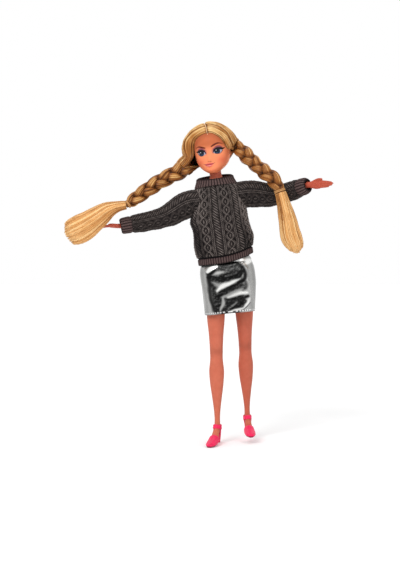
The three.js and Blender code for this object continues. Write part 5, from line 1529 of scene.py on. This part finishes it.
def make_leg(name):
    """A thigh, a shin and a foot in one skin."""
    shin = ANKLE_DROP - KNEE_DROP
    rows = [
        (start + span * share, *(half * size for size in sizes))
        for start, span, half, table in [
            (0, KNEE_DROP, LEG_HALF, THIGH_SHARES), (KNEE_DROP, shin, CALF_HALF, SHIN_SHARES),
        ]
        for share, *sizes in table
    ]
    drop = np.linspace(0, ANKLE_DROP + 0.6, 150)
    wide, front, back = spline(rows, drop).T
    for place, reach, depth in KNEE_RELIEF:
        front = front + depth * np.exp(-(((drop - place) / reach) ** 2))
    dome = np.linspace(math.pi / 2 * 0.94, 0.12, 8)
    drop = np.concatenate([-LEG_HALF * np.sin(dome), drop])
    wide, front, back = (np.concatenate([v[0] * np.cos(dome), v])[:, None] for v in (wide, front, back))
    turn = full_turn(44, -math.pi)
    side, deep = quarter_ring(turn, wide, wide, front, back)
    leg, leg_faces = loft(np.stack([side, deep, -drop[:, None] + 0 * side], -1))

    along = np.linspace(0, 1, 40)[:, None]
    half, top, bottom = table_columns(FOOT_SHARES, along[:, 0])
    high, low = -FOOT_TOP_DROP - FOOT_HEIGHT * top, -FOOT_TOP_DROP - FOOT_HEIGHT * bottom
    across = np.sin(turn) * FOOT_HALF * half
    rise = (high + low) / 2 + np.cos(turn) * (high - low) / 2
    foot, foot_faces = loft(np.stack([across, HEEL_BACK - FOOT_LENGTH * along + 0 * across, rise], -1))
    parts = [(on_leg(name, leg), leg_faces), (on_leg(name, set_foot(foot, name)), foot_faces)]
    points, faces = fused(f"leg_{name}", parts, 0.45, 5)
    knee = on_leg(name, (0, 0, -KNEE_DROP))
    hollow = ridge(points[:, 2] - knee[2], 3.6 * MM) * smoothstep(knee[1] - points[:, 1], 0, 4 * MM)
    # The left leg is painted in a darker skin tone, as shade
    paint = SKIN_AND_SHADE_TONES[name] * (1 - KNEE_SHADE * hollow[:, None])
    piece = make_piece(f"leg_skin_{name}", None, points, faces, SKIN, "skin",
                       [f"thigh_{name}", f"shin_{name}"], paint=paint)
    tuple(on_leg(name, (0, 0, -KNEE_DROP + 7)))
    tuple(on_leg(name, (0, 0, -KNEE_DROP - 7)))
    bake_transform(piece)
    make_shoe(name)


def make_shoe(name):
    """The shoe's solid with soft edges and a darker sole."""
    node = frame["nodes"][f"shoe_{name}"]
    points, faces = remeshed(f"shoe_{name}", node.data.copy(), 0.28, 7)
    low = points[:, 2].min()
    toe = points[:, 1] < np.median(points[:, 1])
    edge = (smoothstep(points[:, 2] - low, *SOLE_THICKNESS) * toe)[:, None]
    paint = SHOE_TONE * (1 - edge) + SOLE_TONE * edge
    make_piece(f"court_shoe_{name}", f"shin_{name}", points, faces, SHOE, "shoe_plastic", [f"shoe_{name}"],
               paint=paint)


def make_neck():
    """The neck between the sweater and the head."""
    rise = np.linspace(NECK_SIZES[0][0], NECK_SIZES[-1][0], 40)
    half = spline(NECK_SIZES, rise)
    turn = full_turn(48)
    points, faces = loft(np.stack([half * np.cos(turn), half * np.sin(turn), rise[:, None] + 0 * turn], -1))
    make_piece("neck_skin", "neck", on_trunk(points), faces, SKIN, "skin", ["neck_post"],
               paint=np.tile(SKIN_AND_SHADE_TONES["right"] * 0.9, (len(points), 1)))


# Solids that no piece replaces get the finish of their slot
for node_name, node in frame["nodes"].items():
    slot = next(row["material_slot"] for row in frame["record"]["subparts"] if row["node"] == node_name)
    if slot in NODE_FINISHES:
        node.data.materials.clear()
        node.data.materials.append(NODE_FINISHES[slot])

make_head()
make_neck()
for side_name in SIGNS:
    make_hair(side_name)
    make_plait(side_name)
    make_tail(side_name)
    make_arm(side_name)
    make_leg(side_name)
make_parting()
make_sweater()
make_skirt()
